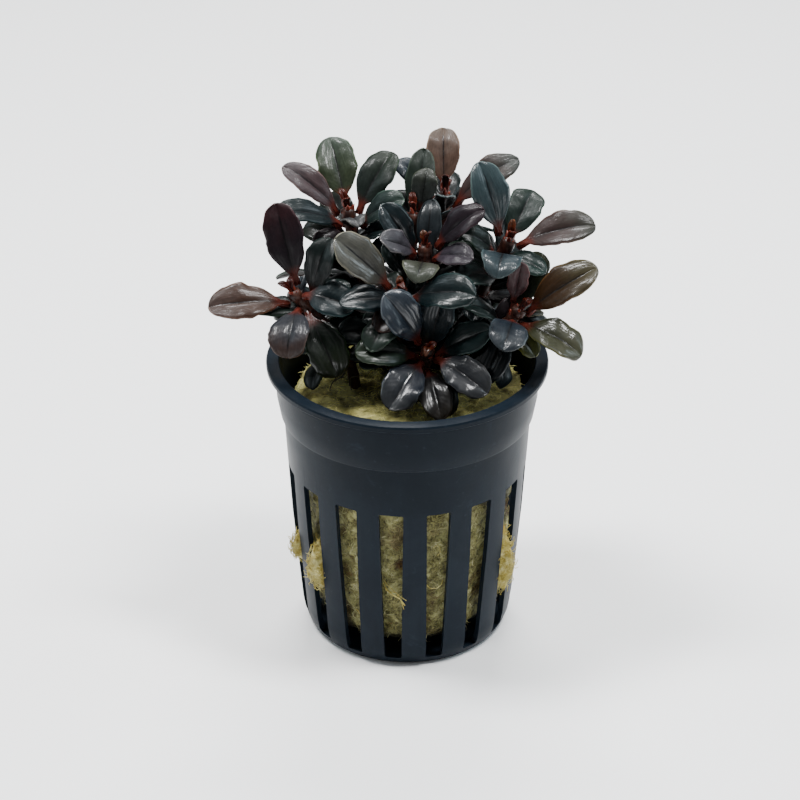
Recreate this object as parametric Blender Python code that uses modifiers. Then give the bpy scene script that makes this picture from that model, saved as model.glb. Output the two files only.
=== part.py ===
"""Potted red cherry bucephalandra: a small net pot filled with rock wool, and the plant that grows in it.

Lengths are metres, +Z is up, and the pot stands on Z = 0 with its axis on the Z axis.
The front of the pot, as it is usually looked at, faces -Y.
"""

import math

import bmesh
import bpy
from mathutils import Matrix, Vector
from mathutils.bvhtree import BVHTree

MM = 0.001

# Pot
POT_HEIGHT = 58.0 * MM
LIP_RADIUS = 27.0 * MM
LIP_INNER_RADIUS = 24.5 * MM
LIP_THICKNESS = 1.4 * MM
BAND_RADIUS = 25.2 * MM
BAND_WAIST_RADIUS = 24.4 * MM
STEP_HEIGHT = 46.5 * MM
BODY_TOP_RADIUS = 23.8 * MM
BODY_MIDDLE_RADIUS = 22.6 * MM
BODY_LOW_RADIUS = 20.9 * MM
BASE_RADIUS = 18.6 * MM
WALL = 1.1 * MM
POT_SEGMENTS = 36
SLOT_COUNT = 16
CUTTER_DEPTH = 10.0 * MM
SLOT_TURN = 15.0
SLOT_TOP = 36.5 * MM
SLOT_BOTTOM = 1.9 * MM
SLOT_WIDTH_TOP = 4.7 * MM
SLOT_WIDTH_BOTTOM = 3.3 * MM

# Rock wool: height and radius of each level and how far it sags at the left, in mm, from the foot to the top
WOOL_LEVELS = (
    (1.4, 13.0, 0.0),
    (3.5, 15.6, 0.0),
    (7.5, 18.2, 0.0),
    (18.0, 19.2, 0.0),
    (32.0, 20.1, 0.0),
    (45.0, 21.3, 0.0),
    (51.0, 22.1, 3.6),
    (52.6, 21.3, 2.6),
    (53.0, 19.2, 0.0),
)
WOOL_TOP = WOOL_LEVELS[-1][0] * MM
WOOL_LOW_TURN = 25.0
WOOL_SEGMENTS = 24
TUFT_WIDTH = 2.5 * MM
TUFT_START = 17.0 * MM
TUFT_END = 0.6
# Slot counted anticlockwise from the one right of the front, lowest and highest height, and reach, in mm
WOOL_TUFTS = (
    (2, 10.5, 26.5, 23.6),
    (13, 13.5, 24.5, 23.8),
    (12, 15.0, 22.2, 23.4),
)

# Plant
STEM_RADIUS = 1.1 * MM
STEM_KNEE = 0.45
STEM_NECK = 0.3
STEM_STEPS = 6
STEM_END_TAPER = 0.8
CROWN_RADIUS = 1.5 * MM
CROWN_LENGTH = 4.0 * MM
CROWN_TOP = 0.6 * MM
STEM_SIDES_RESOLUTION = 1
CONTACT_GAP = 0.3 * MM
STALK_GAP = 0.5 * MM
LEAF_SPACING = 0.7 * MM
POT_CLEARANCE = 0.7 * MM
LEAF_THICKNESS = 0.4 * MM
LEAF_ROWS = (0.0, 0.18, 0.40, 0.66, 0.90, 1.0)
LEAF_ACROSS = 2
STALK_SHARE = 0.18
STALK_WIDTH = 1.1 * MM
WIDEST_AT = 0.62
TIP_SHARE = 0.32
CUP = 0.16
LIGHT = Vector((0.0, -0.6, 0.8))
LIGHT_PULL = 0.7
SMALLEST_FACING = 0.3
SHADED_STEMS = ("back_left", "back_right")
TRY_SIZES = (1.0, 0.92, 0.84)
TRY_OPENINGS = (0, 6, -6, 12, -12, 18, -18)
TRY_TURNS = (0, 5, -5, 10, -10, 15, -15, 20, -20)
LOWER_START = 6.0 * MM
LOWER_STEP = 5.2 * MM
LOWER_TRIES = 5
LOWER_LEVELS = 5
LOWER_LENGTH = 12.0
LOWER_WIDTH = 6.0
LOWER_CURL = 50
LOWER_TURN = 70.0

# Colours
COLOURS = {
    "slate_plastic": ((0.030, 0.039, 0.048), 0.42, 0.0),
    "rock_wool": ((0.180, 0.160, 0.050), 0.95, 0.0),
    "red_stem": ((0.055, 0.030, 0.024), 0.42, 0.0),
    "leaf_green": ((0.030, 0.050, 0.034), 0.34, 0.0),
    "leaf_teal": ((0.022, 0.040, 0.044), 0.30, 0.0),
    "leaf_mauve": ((0.090, 0.055, 0.058), 0.34, 0.0),
    "leaf_olive": ((0.075, 0.072, 0.040), 0.36, 0.0),
    "leaf_maroon": ((0.035, 0.018, 0.022), 0.30, 0.0),
    "leaf_slate": ((0.050, 0.066, 0.078), 0.32, 0.0),
}

# Each stem: its crown, as right, away and height above the lip, then its foot on the wool, in mm,
# and the way that the crown leans and how far from upright, in degrees
STEMS = {
    "rear_left": ((-11.5, 12.0, 26.0), (-6.0, 6.0), 180, 8),
    "rear_middle": ((1.1, 9.0, 26.5), (-1.5, 4.5), 100, 5),
    "rear_right": ((7.2, 17.0, 27.0), (4.0, 7.5), 80, 8),
    "upper_right": ((19.3, 4.0, 23.4), (10.0, 4.0), 320, 18),
    "middle": ((3.3, 3.0, 22.5), (3.5, -0.5), 270, 12),
    "left": ((-21.7, -3.0, 15.7), (-10.0, -2.0), 205, 32),
    "right": ((21.3, -4.0, 12.6), (10.5, -3.5), 330, 30),
    "front": ((3.9, -9.0, 6.5), (3.0, -6.5), 275, 48),
    "centre_left": ((-1.3, -5.0, 17.0), (-2.5, -3.5), 260, 28),
    "back_left": ((-12.0, 16.0, 8.0), (-9.5, 12.5), 120, 40),
    "back_right": ((10.0, 18.5, 8.5), (8.5, 13.5), 70, 42),
}

# Each leaf of a crown, from the top one down: name, turn about the stem and opening from it in degrees,
# length and width in mm, curl in degrees, colour, and whether it is small and fused to the stem
LEAVES = {
    "rear_left": (
        ("up", 101, 47, 14.5, 7.7, 35, "leaf_green", False),
        ("upper_left", 170, 50, 14.4, 5.5, 55, "leaf_mauve", False),
        ("upper_right", 37, 60, 14.0, 7.0, 35, "leaf_olive", False),
        ("lower_left", 212, 74, 15.5, 6.1, 50, "leaf_teal", False),
        ("right", 340, 80, 12.0, 6.1, 50, "leaf_teal", False),
        ("front", 285, 84, 9.0, 4.6, 50, "leaf_mauve", True),
    ),
    "rear_middle": (
        ("left", 30, 15, 8.4, 4.9, 30, "leaf_olive", False),
        ("up", 75, 42, 12.8, 5.4, 30, "leaf_green", False),
    ),
    "rear_right": (
        ("up", 95, 34, 12.8, 6.4, 30, "leaf_mauve", False),
        ("left", 165, 62, 11.0, 5.0, 40, "leaf_slate", False),
        ("right", 5, 66, 15.2, 6.6, 65, "leaf_mauve", False),
        ("front", 250, 80, 8.5, 4.2, 40, "leaf_teal", True),
    ),
    "upper_right": (
        ("upper_left", 150, 42, 15.6, 7.4, 30, "leaf_teal", False),
        ("right", 0, 64, 16.2, 7.0, 45, "leaf_mauve", False),
        ("up", 72, 66, 12.0, 6.8, 30, "leaf_green", False),
        ("front", 258, 90, 12.0, 7.4, 70, "leaf_slate", False),
        ("left", 195, 85, 9.5, 5.5, 50, "leaf_green", False),
        ("lower_right", 312, 84, 9.5, 5.0, 50, "leaf_olive", True),
    ),
    "middle": (
        ("right", 0, 50, 13.5, 5.7, 30, "leaf_maroon", False),
        ("left", 205, 66, 10.0, 5.5, 40, "leaf_mauve", False),
        ("lower_right", 328, 80, 11.0, 5.3, 50, "leaf_mauve", False),
        ("front", 267, 82, 10.5, 6.9, 60, "leaf_olive", False),
        ("upper_left", 140, 62, 11.0, 5.9, 30, "leaf_teal", False),
        ("up", 80, 55, 9.0, 4.6, 30, "leaf_teal", True),
    ),
    "left": (
        ("up", 75, 39, 16.5, 7.4, 30, "leaf_maroon", False),
        ("right", 331, 116, 12.8, 7.6, 60, "leaf_slate", False),
        ("left", 190, 66, 15.8, 7.4, 40, "leaf_mauve", False),
        ("down", 251, 110, 13.6, 7.5, 70, "leaf_mauve", False),
        ("upper_right", 20, 66, 12.5, 6.4, 40, "leaf_green", False),
        ("lower_right", 278, 138, 18.4, 7.6, 50, "leaf_green", False),
    ),
    "right": (
        ("upper_left", 150, 36, 10.5, 4.8, 20, "leaf_mauve", False),
        ("upper_right", 20, 36, 16.2, 7.5, 40, "leaf_olive", False),
        ("front", 257, 99, 11.5, 7.4, 70, "leaf_slate", False),
        ("lower_right", 325, 82, 14.8, 7.2, 50, "leaf_mauve", False),
        ("below", 258, 132, 16.0, 6.4, 40, "leaf_teal", False),
        ("behind", 82, 66, 12.5, 6.3, 40, "leaf_green", False),
        ("small_front", 295, 102, 9.5, 4.6, 50, "leaf_olive", True),
    ),
    "front": (
        ("upper_left", 138, 56, 14.4, 7.5, 40, "leaf_teal", False),
        ("lower_right", 322, 76, 14.4, 7.0, 50, "leaf_slate", False),
        ("lower_left", 240, 84, 14.0, 7.4, 60, "leaf_slate", False),
        ("left", 187, 78, 14.0, 6.4, 50, "leaf_green", False),
        ("right", 12, 72, 12.6, 5.9, 40, "leaf_green", False),
        ("down", 282, 90, 13.6, 6.0, 60, "leaf_maroon", False),
        ("upper_right", 67, 54, 12.5, 6.4, 30, "leaf_teal", False),
    ),
    "centre_left": (
        ("upper_left", 155, 50, 16.0, 7.7, 30, "leaf_slate", False),
        ("right", 350, 85, 15.5, 7.5, 50, "leaf_teal", False),
        ("left", 200, 78, 12.0, 5.5, 40, "leaf_teal", True),
        ("front", 260, 90, 9.0, 5.2, 40, "leaf_maroon", True),
    ),
    "back_left": (
        ("left", 175, 66, 14.0, 7.0, 50, "leaf_green", False),
        ("away", 105, 66, 14.0, 7.2, 60, "leaf_mauve", False),
        ("low", 140, 95, 13.0, 6.4, 60, "leaf_slate", False),
    ),
    "back_right": (
        ("away", 85, 64, 14.0, 7.2, 60, "leaf_green", False),
        ("right", 15, 66, 14.0, 7.0, 50, "leaf_slate", False),
        ("low", 50, 94, 13.0, 6.4, 60, "leaf_maroon", False),
    ),
}


def clear_scene():
    for item in list(bpy.data.objects):
        bpy.data.objects.remove(item, do_unlink=True)


def make_collection(name):
    collection = bpy.data.collections.new(name)
    bpy.context.scene.collection.children.link(collection)
    return collection


def make_material(name):
    colour, roughness, metallic = COLOURS[name]
    material = bpy.data.materials.new(name)
    material.use_nodes = True
    shader = material.node_tree.nodes["Principled BSDF"]
    shader.inputs["Base Color"].default_value = (*colour, 1.0)
    shader.inputs["Roughness"].default_value = roughness
    shader.inputs["Metallic"].default_value = metallic
    return material


def new_object(name, mesh, collection, material=None):
    item = bpy.data.objects.new(name, mesh)
    collection.objects.link(item)
    if material is not None:
        mesh.materials.append(material)
    return item


def turned_object(name, profile, segments, collection, material):
    """Turn a closed profile of (radius, height) about Z."""
    mesh = bpy.data.meshes.new(name)
    points = [(radius, 0.0, height) for radius, height in profile]
    edges = [(i, i + 1) for i in range(len(points) - 1)]
    mesh.from_pydata(points, edges, [])
    item = new_object(name, mesh, collection, material)
    screw = item.modifiers.new("Turn", "SCREW")
    screw.axis = "Z"
    screw.steps = segments
    screw.render_steps = segments
    screw.use_merge_vertices = True
    screw.merge_threshold = 0.00001
    screw.use_normal_calculate = True
    return item


def slot_cutters(collection):
    """One tapered block for each slot, all in one cutting object."""
    shape = bmesh.new()
    for number in range(SLOT_COUNT):
        made = bmesh.ops.create_cube(shape, size=1.0)["verts"]
        turn = Matrix.Rotation(math.radians(SLOT_TURN - 90.0 + number * 360.0 / SLOT_COUNT), 4, "Z")
        for vert in made:
            high = vert.co.z > 0.0
            width = SLOT_WIDTH_TOP if high else SLOT_WIDTH_BOTTOM
            place = Vector((
                BODY_MIDDLE_RADIUS + vert.co.x * CUTTER_DEPTH,
                vert.co.y * width,
                SLOT_TOP if high else SLOT_BOTTOM,
            ))
            vert.co = turn @ place
    mesh = bpy.data.meshes.new("slot_cutters")
    shape.to_mesh(mesh)
    shape.free()
    cutter = new_object("slot_cutters", mesh, collection)
    cutter.hide_render = True
    cutter.display_type = "WIRE"
    return cutter


def make_pot(collection, cutters, material):
    """The moulded pot: profile down the outside, across the floor and up the inside."""
    profile = (
        (LIP_INNER_RADIUS, POT_HEIGHT),
        (LIP_RADIUS - 0.3 * MM, POT_HEIGHT),
        (LIP_RADIUS, POT_HEIGHT - 0.4 * MM),
        (LIP_RADIUS - 0.1 * MM, POT_HEIGHT - LIP_THICKNESS),
        (BAND_RADIUS, POT_HEIGHT - LIP_THICKNESS),
        (BAND_RADIUS - 0.1 * MM, 51.0 * MM),
        (BAND_WAIST_RADIUS, STEP_HEIGHT + 0.6 * MM),
        (BODY_TOP_RADIUS, STEP_HEIGHT),
        (BODY_MIDDLE_RADIUS, 25.0 * MM),
        (BODY_LOW_RADIUS, 5.0 * MM),
        (BASE_RADIUS + 1.3 * MM, 1.2 * MM),
        (BASE_RADIUS, 0.0),
        (0.0, 0.0),
    )
    inside = (
        (0.0, WALL),
        (BASE_RADIUS, WALL),
        (BODY_LOW_RADIUS - WALL, 5.0 * MM),
        (BODY_MIDDLE_RADIUS - WALL, 25.0 * MM),
        (BODY_TOP_RADIUS - WALL, STEP_HEIGHT),
        (LIP_INNER_RADIUS - 0.3 * MM, STEP_HEIGHT + 3.0 * MM),
        (LIP_INNER_RADIUS, POT_HEIGHT),
    )
    pot = turned_object("pot", profile + inside, POT_SEGMENTS, collection, material)
    cut = pot.modifiers.new("Slots", "BOOLEAN")
    cut.operation = "DIFFERENCE"
    cut.solver = "EXACT"
    cut.object = slot_cutters(cutters)
    for face in pot.data.polygons:
        face.use_smooth = True
    return pot


def make_wool(collection, material):
    """The block of wool, nearly as wide as the pot inside, its edge sagging at the left, with a few tufts."""
    shape = bmesh.new()
    bmesh.ops.create_cone(
        shape, cap_ends=True, cap_tris=False, segments=WOOL_SEGMENTS, radius1=1.0, radius2=1.0, depth=1.0
    )
    rising_edges = [e for e in shape.edges if abs(e.verts[0].co.z - e.verts[1].co.z) > 0.5]
    top = len(WOOL_LEVELS) - 1
    bmesh.ops.subdivide_edges(shape, edges=rising_edges, cuts=top - 1)
    for vert in shape.verts:
        level = round((vert.co.z + 0.5) * top)
        height, radius, sag = WOOL_LEVELS[level]
        angle = math.atan2(vert.co.y, vert.co.x)
        height -= sag * max(0.0, -math.cos(angle - math.radians(WOOL_LOW_TURN)))
        radius += 0.35 * math.sin(3.0 * angle + 0.7 * level) + 0.25 * math.sin(7.0 * angle + 1.9 * level)
        vert.co = Vector((radius * math.cos(angle), radius * math.sin(angle), height)) * MM
    mesh = bpy.data.meshes.new("rock_wool")
    shape.to_mesh(mesh)
    shape.free()
    wool = new_object("rock_wool", mesh, collection, material)
    for number, low, high, reach in WOOL_TUFTS:
        fuse(wool, wool_tuft(number, low * MM, high * MM, reach * MM, collection))
    wool.data.materials.clear()
    wool.data.materials.append(material)
    return wool


def wool_tuft(number, low, high, reach, collection):
    """A tuft that presses out through one slot, from inside the block to a rounded end."""
    shape = bmesh.new()
    made = bmesh.ops.create_cube(shape, size=1.0)["verts"]
    turn = Matrix.Rotation(math.radians(SLOT_TURN - 90.0 + number * 360.0 / SLOT_COUNT), 4, "Z")
    for vert in made:
        outer = vert.co.x > 0.0
        taper = TUFT_END if outer else 1.0
        width = TUFT_WIDTH * taper
        height = (high - low) * taper
        place = Vector((
            reach if outer else TUFT_START,
            vert.co.y * width,
            (low + high) / 2.0 + vert.co.z * height,
        ))
        vert.co = turn @ place
    mesh = bpy.data.meshes.new("wool_tuft")
    shape.to_mesh(mesh)
    shape.free()
    return new_object("wool_tuft", mesh, collection)


def stem_frame(name):
    """Crown of a stem, and the turn that takes Z to the way the crown points."""
    place, _, lean, tilt = STEMS[name]
    crown = Vector((place[0] * MM, place[1] * MM, POT_HEIGHT + place[2] * MM))
    turn = Matrix.Rotation(math.radians(lean), 3, "Z") @ Matrix.Rotation(math.radians(tilt), 3, "Y")
    turn = turn @ Matrix.Rotation(math.radians(-lean), 3, "Z")
    return crown, turn


def stem_path(name):
    """Points of a stem, from the wool up to just under its crown."""
    crown, turn = stem_frame(name)
    axis = turn @ Vector((0.0, 0.0, 1.0))
    foot_place = STEMS[name][1]
    foot = Vector((foot_place[0] * MM, foot_place[1] * MM, WOOL_TOP + CONTACT_GAP))
    rise = crown.z - foot.z
    knee = foot + Vector((0.0, 0.0, rise * STEM_KNEE))
    neck = crown - axis * (rise * STEM_NECK)
    path = []
    for step in range(STEM_STEPS + 1):
        t = step / STEM_STEPS
        u = 1.0 - t
        point = foot * u ** 3 + knee * (3 * t * u * u) + neck * (3 * t * t * u) + crown * t ** 3
        path.append(point)
    return path


def make_stem(name, collection, material):
    curve = bpy.data.curves.new("stem_" + name, "CURVE")
    curve.dimensions = "3D"
    curve.bevel_depth = STEM_RADIUS
    curve.bevel_resolution = STEM_SIDES_RESOLUTION
    curve.use_fill_caps = True
    spline = curve.splines.new("POLY")
    path = stem_path(name)
    spline.points.add(len(path) - 1)
    for point, place in zip(spline.points, path):
        point.co = (*place, 1.0)
    spline.points[-2].radius = CROWN_RADIUS / STEM_RADIUS
    spline.points[-1].radius = STEM_END_TAPER
    source = bpy.data.objects.new("stem_curve", curve)
    collection.objects.link(source)
    bpy.context.view_layer.update()
    seen = source.evaluated_get(bpy.context.evaluated_depsgraph_get())
    mesh = bpy.data.meshes.new_from_object(seen)
    shape = bmesh.new()
    shape.from_mesh(mesh)
    bmesh.ops.remove_doubles(shape, verts=shape.verts, dist=0.00001)
    bmesh.ops.recalc_face_normals(shape, faces=shape.faces)
    shape.to_mesh(mesh)
    shape.free()
    bpy.data.objects.remove(source, do_unlink=True)
    mesh.name = "stem_" + name
    mesh.materials.clear()
    return new_object("stem_" + name, mesh, collection, material)


def blade_half_width(share, width):
    """Half the width of a leaf at a share of its length: a stalk, then a spoon-shaped blade."""
    stalk = STALK_WIDTH / 2.0
    if share <= STALK_SHARE:
        return stalk
    along = (share - STALK_SHARE) / (1.0 - STALK_SHARE)
    if along < WIDEST_AT:
        full = (1.0 - (1.0 - along / WIDEST_AT) ** 2) ** 0.7
    else:
        full = math.sqrt(max(1.0 - ((along - WIDEST_AT) / (1.0 - WIDEST_AT)) ** 2, TIP_SHARE ** 2))
    return max(stalk, width / 2.0 * full)


def leaf_point(share, side, length, width, curl):
    """A point of a leaf's middle sheet: bent along an arc whose chord runs along X, edges lifted."""
    bend = math.radians(max(curl, 1.0))
    radius = length / (2.0 * math.sin(bend / 2.0))
    half = blade_half_width(share, width)
    angle = bend * (share - 0.5)
    lift = CUP * half * (2.0 * abs(side) - 1.0) if share > STALK_SHARE else 0.0
    along = radius * (math.sin(angle) + math.sin(bend / 2.0)) + lift * math.sin(angle)
    up = radius * (math.cos(angle) - math.cos(bend / 2.0)) + lift * math.cos(angle)
    return Vector((along, side * half, up))


def leaf_mesh(name, length, width, curl):
    """The open sheet of a leaf, from a grid."""
    shape = bmesh.new()
    rows = len(LEAF_ROWS) - 1
    bmesh.ops.create_grid(shape, x_segments=rows, y_segments=LEAF_ACROSS, size=1.0)
    for vert in shape.verts:
        row = round((vert.co.x + 1.0) / 2.0 * rows)
        vert.co = leaf_point(LEAF_ROWS[row], vert.co.y, length, width, curl)
    mesh = bpy.data.meshes.new(name)
    shape.to_mesh(mesh)
    shape.free()
    return mesh


def leaf_place(heart, foot, axis, out, opening, length, light, from_axis):
    """World matrix of a leaf and the length of its chord.

    The tip is set out from the heart of the rosette, and the stalk starts lower down on the stem.
    """
    open_angle = math.radians(opening)
    tip = heart + (axis * math.cos(open_angle) + out * math.sin(open_angle)) * length
    reach = 0.0 if from_axis else CROWN_RADIUS + STALK_GAP
    root = foot + out * reach
    chord = tip - root
    ahead = chord.normalized()
    facing = axis * (1.0 - LIGHT_PULL) + light * LIGHT_PULL
    upper = facing - ahead * ahead.dot(facing)
    if upper.length < SMALLEST_FACING:
        upper = axis - out
        upper -= ahead * ahead.dot(upper)
    upper.normalize()
    side = upper.cross(ahead)
    basis = Matrix((ahead, side, upper)).transposed()
    return Matrix.Translation(root) @ basis.to_4x4(), chord.length


def distance_to_path(point, path):
    nearest = math.inf
    for start, end in zip(path[:-1], path[1:]):
        run = end - start
        share = max(0.0, min(1.0, (point - start).dot(run) / run.length_squared))
        nearest = min(nearest, (point - start - run * share).length)
    return nearest


def sheet_tree(matrix, chord, width, curl):
    """Points of a leaf's middle sheet and their search tree."""
    points = []
    for share in LEAF_ROWS:
        for side in (-1.0, 0.0, 1.0):
            points.append(matrix @ leaf_point(share, side, chord, width, curl))
    faces = []
    for row in range(len(LEAF_ROWS) - 1):
        for column in (0, 1):
            first = row * 3 + column
            faces.append((first, first + 1, first + 4, first + 3))
    return points, BVHTree.FromPolygons(points, faces)


def room_from_stem(own, fused, row):
    """How far a row of points of a leaf has to stay from a stem's middle line."""
    if own and fused and row < 2:
        return 0.0
    if own and row == 0:
        return CROWN_RADIUS + CONTACT_GAP / 2.0
    return CROWN_RADIUS + LEAF_THICKNESS / 2.0 + CONTACT_GAP


def clear_of_pot(point):
    """True where a point is inside the lip and above the wool, or outside the lip, or above it."""
    radius = math.hypot(point.x, point.y)
    if point.z > POT_HEIGHT + POT_CLEARANCE:
        return True
    if radius < LIP_INNER_RADIUS - POT_CLEARANCE:
        return point.z > WOOL_TOP + POT_CLEARANCE
    return radius > LIP_RADIUS + POT_CLEARANCE


def is_clear(stem, fused, points, tree, grown):
    """True where a leaf keeps its distance from the pot, the wool, the stems and the other leaves."""
    for number, point in enumerate(points):
        if not clear_of_pot(point):
            return False
        for name, path in grown["stems"].items():
            if distance_to_path(point, path) < room_from_stem(name == stem, fused, number // 3):
                return False
        for other, _ in grown["leaves"]:
            if other.find_nearest(point, LEAF_SPACING)[0] is not None:
                return False
    for other, other_points in grown["leaves"]:
        if tree.overlap(other):
            return False
        for point in other_points:
            if tree.find_nearest(point, LEAF_SPACING)[0] is not None:
                return False
    return True


def settle_leaf(stem, heart, foot, row, grown):
    """Turn a leaf a little at a time until it is clear of all that grew before it."""
    short, turn_about, opening, length, width, curl, _, fused = row
    crown, turn = stem_frame(stem)
    axis = turn @ Vector((0.0, 0.0, 1.0))
    light = LIGHT
    if stem in SHADED_STEMS or not short:
        light = (Vector((crown.x, crown.y, 0.0)).normalized() + Vector((0.0, 0.0, 1.0))).normalized()
    for shrink in TRY_SIZES:
        for more_open in TRY_OPENINGS:
            for more_turn in TRY_TURNS:
                spin = math.radians(turn_about + more_turn)
                out = turn @ Vector((math.cos(spin), math.sin(spin), 0.0))
                matrix, chord = leaf_place(
                    heart, foot, axis, out, opening + more_open, length * shrink * MM, light, fused
                )
                points, tree = sheet_tree(matrix, chord, width * shrink * MM, curl)
                if is_clear(stem, fused, points, tree, grown):
                    grown["leaves"].append((tree, points))
                    return matrix, chord, width * shrink * MM
    return None


def make_leaf(name, place, row, collection, material):
    matrix, chord, width = place
    mesh = leaf_mesh(name, chord, width, row[5])
    leaf = new_object(name, mesh, collection, material)
    leaf.matrix_world = matrix
    thick = leaf.modifiers.new("Thickness", "SOLIDIFY")
    thick.thickness = LEAF_THICKNESS
    thick.offset = 0.0
    for face in mesh.polygons:
        face.use_smooth = True
    return leaf


def down_the_stem(path, drop):
    """The point of a stem's middle line at a distance below its crown."""
    for upper, lower in zip(path[::-1], path[-2::-1]):
        run = lower - upper
        if drop <= run.length:
            return upper + run * (drop / run.length)
        drop -= run.length
    return path[0]


def crown_leaf_foot(path, order, count):
    """Where a leaf of the crown grows: the first of the list at the top, the others below it."""
    return down_the_stem(path, order / max(count - 1, 1) * CROWN_LENGTH + CROWN_TOP)


def path_length(path):
    return sum((upper - lower).length for lower, upper in zip(path[:-1], path[1:]))


def lower_leaf_row(number, turn_about):
    """An older leaf lower down a stem, opened wider the lower it grows."""
    opening = 62.0 + 7.0 * number
    return ("", turn_about % 360.0, opening, LOWER_LENGTH, LOWER_WIDTH, LOWER_CURL, "leaf_teal", True)


def grow_lower_leaf(stem, number, grown):
    """Find room for one older leaf, outwards first, then further round to either side."""
    path = grown["stems"][stem]
    drop = LOWER_START + number * LOWER_STEP
    if drop > path_length(path) - LOWER_STEP / 2.0:
        return None
    foot = down_the_stem(path, drop)
    crown = stem_frame(stem)[0]
    first_turn = math.degrees(math.atan2(crown.y, crown.x))
    for attempt in range(LOWER_TRIES):
        side = 1.0 if (number + attempt) % 2 == 0 else -1.0
        away = (number + attempt + 1) // 2
        row = lower_leaf_row(number, first_turn + side * away * LOWER_TURN)
        place = settle_leaf(stem, foot, foot, row, grown)
        if place is not None:
            return place, row
    return None


def fuse(base, extra):
    """Join a small leaf into the stem it grows from."""
    bpy.context.view_layer.update()
    join = base.modifiers.new("Grow", "BOOLEAN")
    join.operation = "UNION"
    join.solver = "EXACT"
    join.object = extra
    bpy.context.view_layer.update()
    seen = base.evaluated_get(bpy.context.evaluated_depsgraph_get())
    mesh = bpy.data.meshes.new_from_object(seen)
    base.modifiers.clear()
    base.data = mesh
    bpy.data.objects.remove(extra, do_unlink=True)


def main():
    clear_scene()
    plant = make_collection("potted_bucephalandra")
    cutters = make_collection("cutters")
    materials = {name: make_material(name) for name in COLOURS}
    root = bpy.data.objects.new("potted_bucephalandra", None)
    plant.objects.link(root)
    pieces = [make_pot(plant, cutters, materials["slate_plastic"]), make_wool(plant, materials["rock_wool"])]
    grown = {"stems": {name: stem_path(name) for name in STEMS}, "leaves": []}
    stems = {name: make_stem(name, plant, materials["red_stem"]) for name in STEMS}
    pieces.extend(stems.values())
    for fused in (False, True):
        for name, rows in LEAVES.items():
            for order, row in enumerate(rows):
                if row[7] != fused:
                    continue
                foot = crown_leaf_foot(grown["stems"][name], order, len(rows))
                place = settle_leaf(name, stem_frame(name)[0], foot, row, grown)
                if place is None:
                    continue
                leaf = make_leaf("leaf_" + name + "_" + row[0], place, row, plant, materials[row[6]])
                if fused:
                    fuse(stems[name], leaf)
                else:
                    pieces.append(leaf)
    for number in range(LOWER_LEVELS):
        for name in STEMS:
            found = grow_lower_leaf(name, number, grown)
            if found is not None:
                place, row = found
                fuse(stems[name], make_leaf("lower_leaf", place, row, plant, materials[row[6]]))
    for piece in pieces:
        piece.parent = root
    bpy.context.view_layer.update()


main()
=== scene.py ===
"""Looks of the potted red cherry bucephalandra: fine leaves, stems, wool and pot, with light and camera."""

import math
import random

import bpy
from mathutils import Matrix, Vector, noise
from mathutils.bvhtree import BVHTree


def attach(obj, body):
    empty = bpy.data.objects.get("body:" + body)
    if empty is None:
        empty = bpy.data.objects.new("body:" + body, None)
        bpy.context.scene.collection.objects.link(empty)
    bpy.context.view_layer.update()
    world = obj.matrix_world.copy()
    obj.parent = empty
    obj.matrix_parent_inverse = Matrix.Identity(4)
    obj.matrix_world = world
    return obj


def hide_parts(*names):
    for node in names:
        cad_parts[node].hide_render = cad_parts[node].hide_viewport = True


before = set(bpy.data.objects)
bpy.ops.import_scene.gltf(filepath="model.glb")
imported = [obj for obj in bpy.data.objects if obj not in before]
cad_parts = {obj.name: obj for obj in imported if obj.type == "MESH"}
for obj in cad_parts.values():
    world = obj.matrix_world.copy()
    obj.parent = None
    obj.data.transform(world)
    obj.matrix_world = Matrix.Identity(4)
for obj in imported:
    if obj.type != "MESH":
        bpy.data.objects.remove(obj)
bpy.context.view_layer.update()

MM = 0.001
UP = Vector((0.0, 0.0, 1.0))

# Sizes shared with the solids
POT_HEIGHT = 58.0 * MM
LIP_RADIUS = 27.0 * MM
LIP_INNER_RADIUS = 24.5 * MM
LIP_THICKNESS = 1.4 * MM
BAND_RADIUS = 25.2 * MM
BAND_WAIST_RADIUS = 24.4 * MM
BAND_MIDDLE = 51.0 * MM
STEP_HEIGHT = 46.5 * MM
BODY_TOP_RADIUS = 23.8 * MM
BODY_MIDDLE_RADIUS = 22.6 * MM
BODY_MIDDLE = 25.0 * MM
BODY_LOW_RADIUS = 20.9 * MM
BODY_LOW = 5.0 * MM
BASE_RADIUS = 18.6 * MM
WALL = 1.1 * MM
SLOT_COUNT = 16
CUTTER_DEPTH = 10.0 * MM
SLOT_TURN = 15.0
SLOT_TOP = 36.5 * MM
SLOT_BOTTOM = 1.9 * MM
SLOT_WIDTH_TOP = 4.7 * MM
SLOT_WIDTH_BOTTOM = 3.3 * MM
WOOL_TOP = 53.0 * MM
STEM_RADIUS = 1.1 * MM
STEM_KNEE = 0.45
STEM_NECK = 0.3
STEM_STEPS = 6
CROWN_RADIUS = 1.5 * MM
CROWN_LENGTH = 4.0 * MM
CROWN_TOP = 0.6 * MM
CONTACT_GAP = 0.3 * MM
STALK_GAP = 0.5 * MM
LEAF_SPACING = 0.7 * MM
POT_CLEARANCE = 0.7 * MM
LEAF_THICKNESS = 0.4 * MM
LEAF_ROWS = (0.0, 0.18, 0.40, 0.66, 0.90, 1.0)
STALK_SHARE = 0.18
STALK_WIDTH = 1.1 * MM
WIDEST_AT = 0.62
WIDEN_POWER = 0.7
TIP_SHARE = 0.32
CUP = 0.16
LIGHT = Vector((0.0, -0.6, 0.8))
LIGHT_PULL = 0.7
SMALLEST_FACING = 0.3
SHADED_STEMS = ("back_left", "back_right")
TRY_SIZES = (1.0, 0.92, 0.84)
TRY_OPENINGS = (0, 6, -6, 12, -12, 18, -18)
TRY_TURNS = (0, 5, -5, 10, -10, 15, -15, 20, -20)
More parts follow.
